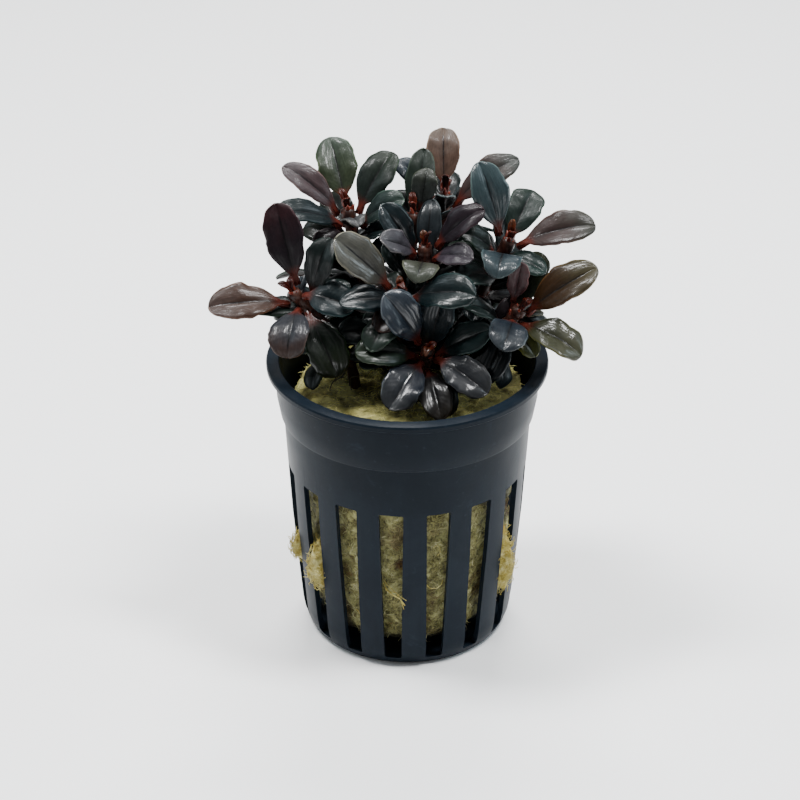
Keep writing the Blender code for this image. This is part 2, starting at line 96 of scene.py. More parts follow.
LOWER_START = 6.0 * MM
LOWER_STEP = 5.2 * MM
LOWER_TRIES = 5
LOWER_LEVELS = 5
LOWER_LENGTH = 12.0
LOWER_WIDTH = 6.0
LOWER_CURL = 50
LOWER_TURN = 70.0
LOWER_OPENING = 62.0
LOWER_WIDER = 7.0

# Each stem: its crown, as right, away and height above the lip, then its foot on the wool, in mm,
# and the way that the crown leans and how far from upright, in degrees
STEMS = {
    "rear_left": ((-11.5, 12.0, 26.0), (-6.0, 6.0), 180, 8),
    "rear_middle": ((1.1, 9.0, 26.5), (-1.5, 4.5), 100, 5),
    "rear_right": ((7.2, 17.0, 27.0), (4.0, 7.5), 80, 8),
    "upper_right": ((19.3, 4.0, 23.4), (10.0, 4.0), 320, 18),
    "middle": ((3.3, 3.0, 22.5), (3.5, -0.5), 270, 12),
    "left": ((-21.7, -3.0, 15.7), (-10.0, -2.0), 205, 32),
    "right": ((21.3, -4.0, 12.6), (10.5, -3.5), 330, 30),
    "front": ((3.9, -9.0, 6.5), (3.0, -6.5), 275, 48),
    "centre_left": ((-1.3, -5.0, 17.0), (-2.5, -3.5), 260, 28),
    "back_left": ((-12.0, 16.0, 8.0), (-9.5, 12.5), 120, 40),
    "back_right": ((10.0, 18.5, 8.5), (8.5, 13.5), 70, 42),
}

# Each leaf of a crown, from the top one down: name, turn about the stem and opening from it in degrees,
# length and width in mm, curl in degrees, colour, and whether it is small and fused to the stem
LEAVES = {
    "rear_left": (
        ("up", 101, 47, 14.5, 7.7, 35, "leaf_green", False),
        ("upper_left", 170, 50, 14.4, 5.5, 55, "leaf_mauve", False),
        ("upper_right", 37, 60, 14.0, 7.0, 35, "leaf_olive", False),
        ("lower_left", 212, 74, 15.5, 6.1, 50, "leaf_teal", False),
        ("right", 340, 80, 12.0, 6.1, 50, "leaf_teal", False),
        ("front", 285, 84, 9.0, 4.6, 50, "leaf_mauve", True),
    ),
    "rear_middle": (
        ("left", 30, 15, 8.4, 4.9, 30, "leaf_olive", False),
        ("up", 75, 42, 12.8, 5.4, 30, "leaf_green", False),
    ),
    "rear_right": (
        ("up", 95, 34, 12.8, 6.4, 30, "leaf_mauve", False),
        ("left", 165, 62, 11.0, 5.0, 40, "leaf_slate", False),
        ("right", 5, 66, 15.2, 6.6, 65, "leaf_mauve", False),
        ("front", 250, 80, 8.5, 4.2, 40, "leaf_teal", True),
    ),
    "upper_right": (
        ("upper_left", 150, 42, 15.6, 7.4, 30, "leaf_teal", False),
        ("right", 0, 64, 16.2, 7.0, 45, "leaf_mauve", False),
        ("up", 72, 66, 12.0, 6.8, 30, "leaf_green", False),
        ("front", 258, 90, 12.0, 7.4, 70, "leaf_slate", False),
        ("left", 195, 85, 9.5, 5.5, 50, "leaf_green", False),
        ("lower_right", 312, 84, 9.5, 5.0, 50, "leaf_olive", True),
    ),
    "middle": (
        ("right", 0, 50, 13.5, 5.7, 30, "leaf_maroon", False),
        ("left", 205, 66, 10.0, 5.5, 40, "leaf_mauve", False),
        ("lower_right", 328, 80, 11.0, 5.3, 50, "leaf_mauve", False),
        ("front", 267, 82, 10.5, 6.9, 60, "leaf_olive", False),
        ("upper_left", 140, 62, 11.0, 5.9, 30, "leaf_teal", False),
        ("up", 80, 55, 9.0, 4.6, 30, "leaf_teal", True),
    ),
    "left": (
        ("up", 75, 39, 16.5, 7.4, 30, "leaf_maroon", False),
        ("right", 331, 116, 12.8, 7.6, 60, "leaf_slate", False),
        ("left", 190, 66, 15.8, 7.4, 40, "leaf_mauve", False),
        ("down", 251, 110, 13.6, 7.5, 70, "leaf_mauve", False),
        ("upper_right", 20, 66, 12.5, 6.4, 40, "leaf_green", False),
        ("lower_right", 278, 138, 18.4, 7.6, 50, "leaf_green", False),
    ),
    "right": (
        ("upper_left", 150, 36, 10.5, 4.8, 20, "leaf_mauve", False),
        ("upper_right", 20, 36, 16.2, 7.5, 40, "leaf_olive", False),
        ("front", 257, 99, 11.5, 7.4, 70, "leaf_slate", False),
        ("lower_right", 325, 82, 14.8, 7.2, 50, "leaf_mauve", False),
        ("below", 258, 132, 16.0, 6.4, 40, "leaf_teal", False),
        ("behind", 82, 66, 12.5, 6.3, 40, "leaf_green", False),
        ("small_front", 295, 102, 9.5, 4.6, 50, "leaf_olive", True),
    ),
    "front": (
        ("upper_left", 138, 56, 14.4, 7.5, 40, "leaf_teal", False),
        ("lower_right", 322, 76, 14.4, 7.0, 50, "leaf_slate", False),
        ("lower_left", 240, 84, 14.0, 7.4, 60, "leaf_slate", False),
        ("left", 187, 78, 14.0, 6.4, 50, "leaf_green", False),
        ("right", 12, 72, 12.6, 5.9, 40, "leaf_green", False),
        ("down", 282, 90, 13.6, 6.0, 60, "leaf_maroon", False),
        ("upper_right", 67, 54, 12.5, 6.4, 30, "leaf_teal", False),
    ),
    "centre_left": (
        ("upper_left", 155, 50, 16.0, 7.7, 30, "leaf_slate", False),
        ("right", 350, 85, 15.5, 7.5, 50, "leaf_teal", False),
        ("left", 200, 78, 12.0, 5.5, 40, "leaf_teal", True),
        ("front", 260, 90, 9.0, 5.2, 40, "leaf_maroon", True),
    ),
    "back_left": (
        ("left", 175, 66, 14.0, 7.0, 50, "leaf_green", False),
        ("away", 105, 66, 14.0, 7.2, 60, "leaf_mauve", False),
        ("low", 140, 95, 13.0, 6.4, 60, "leaf_slate", False),
    ),
    "back_right": (
        ("away", 85, 64, 14.0, 7.2, 60, "leaf_green", False),
        ("right", 15, 66, 14.0, 7.0, 50, "leaf_slate", False),
        ("low", 50, 94, 13.0, 6.4, 60, "leaf_maroon", False),
    ),
}

# Fine leaf: steps along and across, of the large ones and of the small ones
LEAF_GRID = (32, 14)
SMALL_GRID = (20, 8)
LEAF_SKIN = 0.3 * MM
STALK_END = 0.6
RISE_POWER = 0.85
FINE_WIDEST = 0.56
TIP_POWER = 2.3
ROW_POWER = 1.8
SIDE_POWER = 1.3
RUFFLE = 0.45 * MM
RUFFLE_LEAF = 7.0 * MM
GROOVE = 0.16 * MM
GROOVE_WIDTH = 0.12
DOME = 0.10
FINE_CUP = 0.07
CUP_POWER = 1.5
EDGE_WANDER = 0.1
RAGS = (5.5, 3.0)
WAVES = (4.2, 7.0, 9.0)
WAVE_GAIN = 2.4
DENTS = (9.0, 3.0, 4.0)
DENT = 0.12 * MM
BLADE_START = 0.22
GROOVE_END = 0.92
FADE = 0.25
DROOP_START = 0.7
ROLL_MIDDLE = 0.4
LEAST_RUFFLE, MOST_RUFFLE = 0.5, 1.5
MOST_TWIST = 14.0
MOST_DROOP = 16.0
SHADE_RANGE = 0.1
STALK_RADII = ((0.0, 0.78), (0.12, 0.66), (0.25, 0.46), (0.45, 0.24), (0.7, 0.1), (0.86, 0.0))
STALK_SIDES = 8
STALK_SINK = 0.75
STALK_LEAF = 5.5 * MM

# Fine stem: its crown of buds and young leaves, and its roots
FINE_STEM_STEPS = 40
STEM_SIDES = 14
STEM_SUNK = 1.5 * MM
STEM_RING = 0.10 * MM
STEM_RING_TURNS = 70.0
STEM_KNOB = 0.12 * MM
STEM_KNOB_SCALE = 900.0
BUD_RADII = ((0.0, 0.0), (0.08, 0.5), (0.3, 0.62), (0.55, 0.5), (0.8, 0.26), (1.0, 0.0))
BUD_SIDES = 9
BUD_COUNT = 5
BUD_TURN = 144.0
BUD_DROP = 2.8
BUD_STEP = 0.5
BUD_LENGTHS = (1.5, 2.5)
BUD_WIDTHS = (0.6, 0.9)
BUD_LEAN = (0.6, 1.1)
YOUNG_COUNT = 2
YOUNG_TURNS = (70.0, 150.0)
YOUNG_LENGTHS = (3.6, 1.0)
YOUNG_OPENINGS = (16.0, 10.0)
YOUNG_WIDTH = 1.4 * MM
YOUNG_CURL = 30
ROOT_COUNT = 6
ROOT_STARTS = (0.6, 0.97)
ROOT_REACHES = (1.2, 4.0)
ROOT_STEPS = 8
ROOT_CURLS = 420.0
ROOT_CURL = 3.0 * MM
ROOT_BOW = 1.2 * MM
ROOT_END = 0.2 * MM
ROOT_RADIUS = 0.2
ROOT_THINNER = 0.1

# Small leaves inside the plant
PLANT_SEED = 7
SMALL_SPACING = 0.25 * MM
SMALL_TRIES = 16
SMALL_CHANCES = 30
SMALL_LARGEST = 14.5
SMALL_DROP = 0.35
SMALL_SIZES = (0.65, 1.0)
SMALL_OPENINGS = (45.0, 100.0)
SMALL_START = 3.0 * MM
SMALL_END = 2.0 * MM
SMALL_SHORTEST = 3.5 * MM
SMALL_BREADTH = 0.5
SMALL_CURL = 40
SHADED_WAY = 0.35
SHADED_RISE = 1.2
CROWN_ROOM = 3.0 * MM
FREE_HEIGHT = 62.0 * MM
FREE_SIDE = 12.0 * MM
SPOT_SHARE = 0.6
REACH_STEPS = 9
REACH_FEET = 5
REACH_SWINGS = (0, 10, -10)
# Columns of spots from left to right, each with the height of its top as seen, in mm
NET_COLUMNS = (
    (-20.5, 23.0), (-17.0, 24.5), (-13.5, 26.0), (-10.0, 28.0), (-6.5, 28.0), (-3.0, 29.0),
    (0.5, 30.0), (4.0, 30.0), (7.5, 28.0), (11.0, 25.0), (14.5, 24.0), (18.0, 23.0), (21.5, 20.0),
)
NET_LOWEST = 12.5
NET_STEP = 3.5
NET_DEPTHS = (4.0, 13.0)
NET_STRAY = 0.6
NET_SIZES = (8.0, 11.0)

# Colours as seen, from 0 to 255: the middle of the blade, its tip, and how wet it looks
LOOKS = {
    "rear_left_up": ((80, 88, 72), (88, 101, 90), 0.4),
    "rear_left_upper_left": ((104, 90, 92), (112, 104, 106), 0.4),
    "rear_left_upper_right": ((42, 50, 46), (51, 61, 51), 0.3),
    "rear_left_lower_left": ((36, 46, 49), (44, 54, 54), 0.5),
    "rear_left_right": ((54, 66, 64), (66, 80, 74), 0.4),
    "rear_left_front": ((80, 84, 88), (92, 92, 92), 0.4),
    "rear_middle_left": ((62, 66, 64), (74, 78, 70), 0.4),
    "rear_middle_up": ((46, 56, 50), (56, 66, 58), 0.4),
    "rear_right_up": ((126, 106, 97), (138, 126, 118), 0.4),
    "rear_right_left": ((58, 66, 74), (66, 76, 84), 0.6),
    "rear_right_right": ((86, 70, 68), (80, 84, 80), 0.3),
    # Painted light: this leaf's colours are made lighter to make up for the shadow that falls on it
    "rear_right_front": ((84, 92, 96), (98, 106, 110), 0.5),
    "upper_right_upper_left": ((70, 83, 87), (88, 101, 104), 0.9),
    "upper_right_right": ((86, 72, 70), (76, 76, 70), 0.4),
    "upper_right_up": ((53, 65, 61), (63, 74, 68), 0.3),
    "upper_right_front": ((68, 80, 86), (84, 94, 98), 0.7),
    "upper_right_left": ((44, 54, 52), (50, 62, 56), 0.5),
    "upper_right_lower_right": ((52, 66, 64), (60, 76, 72), 0.5),
    "middle_right": ((52, 44, 50), (62, 52, 58), 0.4),
    "middle_left": ((88, 86, 92), (98, 98, 102), 0.4),
    "middle_lower_right": ((80, 74, 82), (92, 88, 94), 0.4),
    "middle_front": ((84, 86, 78), (98, 102, 94), 0.3),
    "middle_upper_left": ((28, 38, 42), (40, 52, 56), 0.9),
    "middle_up": ((44, 50, 54), (52, 58, 62), 0.5),
    "left_up": ((36, 28, 34), (58, 36, 40), 0.3),
    "left_right": ((34, 48, 52), (48, 62, 65), 0.4),
    "left_left": ((92, 70, 60), (112, 98, 94), 0.5),
    "left_down": ((70, 72, 78), (85, 70, 65), 0.4),
    "left_upper_right": ((26, 34, 34), (30, 40, 38), 0.4),
    "left_lower_right": ((24, 36, 26), (40, 46, 34), 0.8),
    "right_upper_left": ((112, 84, 87), (120, 100, 102), 0.4),
    "right_upper_right": ((72, 54, 40), (104, 100, 84), 0.7),
    "right_front": ((57, 64, 72), (69, 74, 79), 0.5),
    "right_lower_right": ((76, 78, 60), (108, 108, 92), 0.8),
    "right_below": ((20, 28, 32), (30, 38, 42), 0.9),
    "right_behind": ((60, 66, 52), (74, 78, 58), 0.3),
    "right_small_front": ((72, 74, 46), (88, 92, 60), 0.5),
    "front_upper_left": ((50, 58, 68), (86, 92, 100), 0.9),
    "front_lower_right": ((55, 58, 63), (69, 70, 72), 0.8),
    "front_lower_left": ((51, 56, 65), (72, 74, 76), 0.8),
    "front_left": ((38, 52, 42), (62, 72, 60), 0.9),
    "front_right": ((38, 53, 54), (50, 64, 64), 0.6),
    "front_down": ((24, 24, 26), (40, 36, 30), 0.8),
    "front_upper_right": ((42, 52, 58), (50, 60, 66), 0.5),
    # Partly painted sheen: this leaf's pale grey colours are partly its own silver grey and partly a painted
    # sheen of its wet surface
    "centre_left_upper_left": ((98, 97, 92), (122, 122, 116), 1.0),
    "centre_left_right": ((18, 32, 35), (32, 46, 46), 0.7),
    "centre_left_left": ((25, 36, 41), (36, 47, 50), 0.8),
    "centre_left_front": ((44, 30, 30), (52, 40, 38), 0.5),
    "back_left_left": ((40, 52, 48), (56, 68, 62), 0.5),
    "back_left_away": ((84, 74, 76), (96, 90, 90), 0.4),
    "back_left_low": ((44, 52, 60), (60, 68, 76), 0.6),
    "back_right_away": ((48, 60, 52), (64, 74, 64), 0.4),
    "back_right_right": ((52, 60, 68), (70, 78, 86), 0.6),
    "back_right_low": ((48, 36, 40), (62, 50, 52), 0.5),
}
SMALL_LOOKS = (
    ((28, 38, 38), (38, 50, 48), 0.5),
    ((32, 40, 44), (44, 54, 58), 0.6),
    ((24, 32, 26), (36, 44, 34), 0.5),
    ((40, 34, 36), (52, 46, 46), 0.4),
    ((36, 46, 42), (50, 60, 54), 0.4),
)
YOUNG_LOOKS = (
    ((112, 50, 40), (92, 52, 46), 0.4),
    ((96, 46, 40), (78, 50, 48), 0.4),
    ((124, 62, 46), (110, 76, 62), 0.4),
)
SLATE_LOOK = ((64, 72, 80), (84, 92, 98), 0.4)
OLIVE_LOOK = ((58, 58, 42), (84, 84, 64), 0.5)
MAUVE_LOOK = ((72, 62, 66), (88, 80, 84), 0.4)
TEAL_LOOK = ((36, 48, 50), (50, 64, 64), 0.6)
DARK_LOOK = ((26, 34, 34), (38, 48, 46), 0.7)

# Leaves that close the gaps between the stems: stem, spot covered and length in mm, and look
FILL_LEAVES = (
    ("rear_left", (-19.2, 6.0, 84.0), 11.0, MAUVE_LOOK),
    ("rear_left", (-14.5, 7.0, 82.0), 10.0, TEAL_LOOK),
    ("rear_left", (-6.5, 8.5, 79.8), 9.5, TEAL_LOOK),
    ("rear_middle", (-3.0, 5.0, 76.6), 10.0, DARK_LOOK),
    ("rear_right", (12.2, 9.0, 78.6), 10.0, DARK_LOOK),
    ("upper_right", (13.9, 8.0, 79.0), 10.0, DARK_LOOK),
    ("middle", (1.8, 2.0, 73.2), 7.5, DARK_LOOK),
    ("left", (-19.5, 3.5, 73.0), 8.0, SLATE_LOOK),
    ("left", (-9.5, -6.5, 62.0), 9.0, DARK_LOOK),
    ("front", (-6.0, -8.0, 62.5), 9.0, TEAL_LOOK),
    ("upper_right", (18.3, 6.0, 71.2), 10.0, DARK_LOOK),
    ("rear_middle", (-1.0, 12.0, 85.1), 8.0, OLIVE_LOOK),
    ("left", (-27.2, 2.0, 76.2), 9.5, SLATE_LOOK),
    ("left", (-27.0, 0.5, 68.4), 9.5, OLIVE_LOOK),
    ("right", (24.2, 4.0, 74.6), 9.5, MAUVE_LOOK),
    ("middle", (9.0, 4.0, 74.0), 10.0, DARK_LOOK),
    ("left", (-17.5, 3.0, 76.0), 9.5, TEAL_LOOK),
    ("rear_left", (-9.0, 6.0, 74.0), 10.0, DARK_LOOK),
    ("centre_left", (-8.4, -8.0, 63.4), 9.5, DARK_LOOK),
    ("centre_left", (-9.6, -9.0, 60.6), 8.5, TEAL_LOOK),
    ("left", (-13.0, -7.0, 62.0), 9.0, DARK_LOOK),
    ("right", (15.0, -8.5, 62.5), 9.5, DARK_LOOK),
    ("middle", (9.6, 5.0, 76.4), 8.5, MAUVE_LOOK),
    ("rear_left", (-10.0, 16.0, 85.0), 11.0, OLIVE_LOOK),
    ("rear_middle", (2.2, 6.0, 77.9), 8.0, DARK_LOOK),
    ("left", (-10.0, 3.0, 74.0), 9.0, DARK_LOOK),
    ("right", (23.7, 2.0, 69.0), 8.0, OLIVE_LOOK),
    ("middle", (-3.7, 2.0, 76.6), 8.0, TEAL_LOOK),
    ("rear_left", (-19.5, 5.0, 79.6), 9.5, SLATE_LOOK),
    ("back_right", (4.0, 22.0, 68.0), 11.0, TEAL_LOOK),
    ("back_left", (-3.0, 22.0, 68.0), 11.0, MAUVE_LOOK),
    ("back_left", (-18.0, 15.0, 70.0), 11.0, DARK_LOOK),
    ("back_right", (18.0, 15.0, 70.0), 11.0, OLIVE_LOOK),
    ("rear_middle", (0.0, 18.0, 76.0), 11.0, DARK_LOOK),
    ("rear_right", (11.0, 22.0, 78.0), 11.0, TEAL_LOOK),
    ("rear_left", (-12.0, 20.0, 76.0), 11.0, SLATE_LOOK),
    ("upper_right", (20.0, 12.0, 74.0), 10.0, TEAL_LOOK),
)


def level_way(angle):
    """The level direction at an angle about the pot's axis."""
    return Vector((math.cos(angle), math.sin(angle), 0.0))


def stem_frame(name):
    """Crown of a stem, and the turn that takes Z to the way the crown points."""
    place, _, lean, tilt = STEMS[name]
    crown = Vector((place[0] * MM, place[1] * MM, POT_HEIGHT + place[2] * MM))
    turn = Matrix.Rotation(math.radians(lean), 3, "Z") @ Matrix.Rotation(math.radians(tilt), 3, "Y")
    turn = turn @ Matrix.Rotation(math.radians(-lean), 3, "Z")
    return crown, turn


def stem_path(name, steps=STEM_STEPS, sunk=0.0):
    """Points of a stem, from the wool, or from some way inside it, up to just under its crown."""
    crown, turn = stem_frame(name)
    foot_place = STEMS[name][1]
    foot = Vector((foot_place[0] * MM, foot_place[1] * MM, WOOL_TOP + CONTACT_GAP))
    rise = crown.z - foot.z
    knee = foot + Vector((0.0, 0.0, rise * STEM_KNEE))
    neck = crown - turn @ UP * (rise * STEM_NECK)
    foot.z -= sunk
    path = []
    for step in range(steps + 1):
        t = step / steps
        u = 1.0 - t
        path.append(foot * u ** 3 + knee * (3 * t * u * u) + neck * (3 * t * t * u) + crown * t ** 3)
    return path


def blade_half_width(share, width):
    """Half the width of a leaf at a share of its length: a stalk, then a spoon-shaped blade."""
    stalk = STALK_WIDTH / 2.0
    if share <= STALK_SHARE:
        return stalk
    along = (share - STALK_SHARE) / (1.0 - STALK_SHARE)
    if along < WIDEST_AT:
        full = (1.0 - (1.0 - along / WIDEST_AT) ** 2) ** WIDEN_POWER
    else:
        full = math.sqrt(max(1.0 - ((along - WIDEST_AT) / (1.0 - WIDEST_AT)) ** 2, TIP_SHARE ** 2))
    return max(stalk, width / 2.0 * full)


def on_arc(share, length, curl, lift):
    """How far along and up a point is on an arc whose chord runs along X, lifted off the arc."""
    bend = math.radians(max(curl, 1.0))
    radius = length / (2.0 * math.sin(bend / 2.0))
    angle = bend * (share - 0.5)
    along = radius * (math.sin(angle) + math.sin(bend / 2.0)) + lift * math.sin(angle)
    up = radius * (math.cos(angle) - math.cos(bend / 2.0)) + lift * math.cos(angle)
    return along, up


def leaf_point(share, side, length, width, curl):
    """A point of the middle sheet of a solid leaf: bent along an arc, edges lifted."""
    half = blade_half_width(share, width)
    lift = CUP * half * (2.0 * abs(side) - 1.0) if share > STALK_SHARE else 0.0
    along, up = on_arc(share, length, curl, lift)
    return Vector((along, side * half, up))


def leaf_place(heart, foot, axis, out, opening, length, light, from_axis):
    """World matrix of a leaf and the length of its chord.

    The tip is set out from the heart of the rosette, and the stalk starts lower down on the stem.
    """
    open_angle = math.radians(opening)
    tip = heart + (axis * math.cos(open_angle) + out * math.sin(open_angle)) * length
    reach = 0.0 if from_axis else CROWN_RADIUS + STALK_GAP
    root = foot + out * reach
    chord = tip - root
    ahead = chord.normalized()
    facing = axis * (1.0 - LIGHT_PULL) + light * LIGHT_PULL
    upper = facing - ahead * ahead.dot(facing)
    if upper.length < SMALLEST_FACING:
        upper = axis - out
        upper -= ahead * ahead.dot(upper)
    upper.normalize()
    side = upper.cross(ahead)
    basis = Matrix((ahead, side, upper)).transposed()
    return Matrix.Translation(root) @ basis.to_4x4(), chord.length


def distance_to_path(point, path):
    nearest = math.inf
    for start, end in zip(path[:-1], path[1:]):
        run = end - start
        share = max(0.0, min(1.0, (point - start).dot(run) / run.length_squared))
        nearest = min(nearest, (point - start - run * share).length)
    return nearest


def sheet_tree(matrix, chord, width, curl):
    """Points of a leaf's middle sheet and their search tree."""
    points = []
    for share in LEAF_ROWS:
        for side in (-1.0, 0.0, 1.0):
            points.append(matrix @ leaf_point(share, side, chord, width, curl))
    faces = []
    for row in range(len(LEAF_ROWS) - 1):
        for column in (0, 1):
            first = row * 3 + column
            faces.append((first, first + 1, first + 4, first + 3))
    return points, BVHTree.FromPolygons(points, faces)


def room_from_stem(own, fused, row):
    """How far a row of points of a leaf has to stay from a stem's middle line."""
    if own and fused and row < 2:
        return 0.0
    if own and row == 0:
        return CROWN_RADIUS + CONTACT_GAP / 2.0
    return CROWN_RADIUS + LEAF_THICKNESS / 2.0 + CONTACT_GAP


def clear_of_pot(point):
    """True where a point is inside the lip and above the wool, or outside the lip, or above it."""
    radius = math.hypot(point.x, point.y)
    if point.z > POT_HEIGHT + POT_CLEARANCE:
        return True
    if radius < LIP_INNER_RADIUS - POT_CLEARANCE:
        return point.z > WOOL_TOP + POT_CLEARANCE
    return radius > LIP_RADIUS + POT_CLEARANCE


def touches_leaf(points, tree, grown, spacing):
    """True where a leaf cuts, or comes too near to, one that grew before it."""
    for other, other_points in grown["leaves"]:
        if tree.overlap(other):
            return True
        if any(tree.find_nearest(point, spacing)[0] is not None for point in other_points):
            return True
        if any(other.find_nearest(point, spacing)[0] is not None for point in points):
            return True
    return False


def is_clear(stem, fused, points, tree, grown):
    """True where a leaf keeps its distance from the pot, the wool, the stems and the other leaves."""
    for number, point in enumerate(points):
        if not clear_of_pot(point):
            return False
        for name, path in grown["stems"].items():
            if distance_to_path(point, path) < room_from_stem(name == stem, fused, number // 3):
                return False
    return not touches_leaf(points, tree, grown, LEAF_SPACING)


def outward_light(crown, rise):
    """The way to the light for leaves that the front ones shade: away from the axis, and up."""
    return (Vector((crown.x, crown.y, 0.0)).normalized() + Vector((0.0, 0.0, rise))).normalized()


def try_leaf(stem, heart, foot, row, more_turn, more_open, shrink, grown):
    """Place of a leaf at one turn, opening and size, or nothing where it would touch."""
    short, turn_about, opening, length, width, curl, _, fused = row
    crown, turn = stem_frame(stem)
    light = LIGHT
    if stem in SHADED_STEMS or not short:
        light = outward_light(crown, 1.0)
    out = turn @ level_way(math.radians(turn_about + more_turn))
    reach = length * shrink * MM
    matrix, chord = leaf_place(heart, foot, turn @ UP, out, opening + more_open, reach, light, fused)
    points, tree = sheet_tree(matrix, chord, width * shrink * MM, curl)
    if not is_clear(stem, fused, points, tree, grown):
        return None
    grown["leaves"].append((tree, points))
    return matrix, chord, width * shrink * MM


def settle_leaf(stem, heart, foot, row, grown):
    """Turn a leaf a little at a time until it is clear of all that grew before it."""
    for shrink in TRY_SIZES:
        for more_open in TRY_OPENINGS:
            for more_turn in TRY_TURNS:
                place = try_leaf(stem, heart, foot, row, more_turn, more_open, shrink, grown)
                if place is not None:
                    return place
    return None


def down_the_stem(path, drop):
    """The point of a stem's middle line at a distance below its crown."""
    for upper, lower in zip(path[::-1], path[-2::-1]):
        run = lower - upper
        if drop <= run.length:
            return upper + run * (drop / run.length)
        drop -= run.length
    return path[0]


def crown_leaf_foot(path, order, count):
    """Where a leaf of the crown grows: the first of the list at the top, the others below it."""
    return down_the_stem(path, order / max(count - 1, 1) * CROWN_LENGTH + CROWN_TOP)


def path_length(path):
    return sum((upper - lower).length for lower, upper in zip(path[:-1], path[1:]))


def grow_lower_leaf(stem, number, grown):
    """Find room for one older leaf, outwards first, then further round to either side."""
    path = grown["stems"][stem]
    drop = LOWER_START + number * LOWER_STEP
    if drop > path_length(path) - LOWER_STEP / 2.0:
        return None
    foot = down_the_stem(path, drop)
    crown = stem_frame(stem)[0]
    first_turn = math.degrees(math.atan2(crown.y, crown.x))
    opening = LOWER_OPENING + LOWER_WIDER * number
    for attempt in range(LOWER_TRIES):
        side = 1.0 if (number + attempt) % 2 == 0 else -1.0
        away = (number + attempt + 1) // 2
        turn_about = (first_turn + side * away * LOWER_TURN) % 360.0
        row = ("", turn_about, opening, LOWER_LENGTH, LOWER_WIDTH, LOWER_CURL, "leaf_teal", True)
        place = settle_leaf(stem, foot, foot, row, grown)
        if place is not None:
            return place, row
    return None


def squeeze_leaf(stem, foot, way, size, grown, lowest):
    """Place of a small leaf that misses the pot, the wool, the crowns and the other leaves.

    At the front and the sides it also stays above the lowest height, so that the wool shows.
    """
    crown, turn = stem_frame(stem)
    axis = turn @ UP
    out = (way - axis * axis.dot(way)).normalized()
    opening = math.degrees(axis.angle(way))
    width = size * SMALL_BREADTH
    light = outward_light(crown, SHADED_RISE) if out.y > SHADED_WAY else LIGHT
    matrix, chord = leaf_place(foot, foot, axis, out, opening, size, light, True)
    points, tree = sheet_tree(matrix, chord, width, SMALL_CURL)
    for point in points:
        if not clear_of_pot(point):
            return None
        if abs(point.x - crown.x) < CROWN_ROOM and point.z > crown.z - CROWN_ROOM and point.y < crown.y:
            return None
        if point.z < lowest and (point.y < 0.0 or abs(point.x) > FREE_SIDE):
            return None
    if touches_leaf(points, tree, grown, SMALL_SPACING):
        return None
    grown["leaves"].append((tree, points))
    return matrix, chord, width


def small_leaf(stem, path, grown, largest):
    """One more small leaf inside the plant, where there is room for it."""
    length = path_length(path)
    _, turn = stem_frame(stem)
    for _ in range(SMALL_CHANCES):
        drop = chance.uniform(SMALL_START, max(length - SMALL_END, SMALL_SHORTEST))
        foot = down_the_stem(path, drop)
        spin = chance.uniform(0.0, math.tau)
        opening = math.radians(chance.uniform(*SMALL_OPENINGS))
        size = chance.uniform(*SMALL_SIZES) * largest * MM
        out = level_way(spin) * math.sin(opening)
        way = turn @ (out + Vector((0.0, 0.0, math.cos(opening))))
        place = squeeze_leaf(stem, foot, way, size, grown, FREE_HEIGHT)
        if place is not None:
            return place
    return None


def reaching_leaf(stem, spot, size, grown):
    """A small leaf from somewhere on a stem, whose wide part covers a spot."""
    path = grown["stems"][stem]
    length = path_length(path)
    feet = [down_the_stem(path, length * step / REACH_STEPS) for step in range(1, REACH_STEPS)]
    feet.sort(key=lambda foot: abs((spot - foot).length - size * SPOT_SHARE))
    for foot in feet[:REACH_FEET]:
        way = (spot - foot).normalized()
        for swing in REACH_SWINGS:
            for nod in REACH_SWINGS:
                turned = Matrix.Rotation(math.radians(swing), 3, "Z") @ way
                turned.z += math.radians(nod)
                place = squeeze_leaf(stem, foot, turned.normalized(), size, grown, 0.0)
                if place is not None:
                    return place
    return None


def net_of_spots():
    """Spots spread over the inside of the plant as it is seen from the front and above."""
    sine, cosine = math.sin(math.radians(CAMERA_ELEVATION)), math.cos(math.radians(CAMERA_ELEVATION))
    spots = []
    for across, top in NET_COLUMNS:
        level = NET_LOWEST
        while level < top:
            away = chance.uniform(*NET_DEPTHS)
            right = across + chance.uniform(-NET_STRAY, NET_STRAY)
            height = (level + chance.uniform(-NET_STRAY, NET_STRAY) - away * sine) / cosine
            spots.append(Vector((right, away, POT_HEIGHT / MM + height)) * MM)
            level += NET_STEP
    return spots


def grow_plant():
    """Every leaf's place: the named rows, the lower leaves, then the small ones inside."""
    grown = {"stems": {name: stem_path(name) for name in STEMS}, "leaves": []}
    own, carried = [], {name: [] for name in STEMS}
    for fused in (False, True):
        for name, rows in LEAVES.items():
            for order, row in enumerate(rows):
                if row[7] != fused:
                    continue
                foot = crown_leaf_foot(grown["stems"][name], order, len(rows))
                place = settle_leaf(name, stem_frame(name)[0], foot, row, grown)
                if place is None:
                    continue
                if fused:
                    carried[name].append((place, row[5], LOOKS[name + "_" + row[0]]))
                else:
                    own.append((name, row, place))
    for number in range(LOWER_LEVELS):
        for name in STEMS:
            found = grow_lower_leaf(name, number, grown)
            if found is not None:
                place, row = found
                carried[name].append((place, row[5], chance.choice(SMALL_LOOKS)))
    for stem, spot, size, look in FILL_LEAVES:
        place = reaching_leaf(stem, Vector(spot) * MM, size * MM, grown)
        if place is not None:
            carried[stem].append((place, SMALL_CURL, look))
    for spot in net_of_spots():
        stem = min(STEMS, key=lambda name: distance_to_path(spot, grown["stems"][name]))
        place = reaching_leaf(stem, spot, chance.uniform(*NET_SIZES) * MM, grown)
        if place is not None:
            carried[stem].append((place, SMALL_CURL, chance.choice(SMALL_LOOKS)))
    for number in range(SMALL_TRIES):
        largest = SMALL_LARGEST - SMALL_DROP * number
        for name, path in grown["stems"].items():
            place = small_leaf(name, path, grown, largest)
            if place is not None:
                carried[name].append((place, SMALL_CURL, chance.choice(SMALL_LOOKS)))
    return grown, own, carried


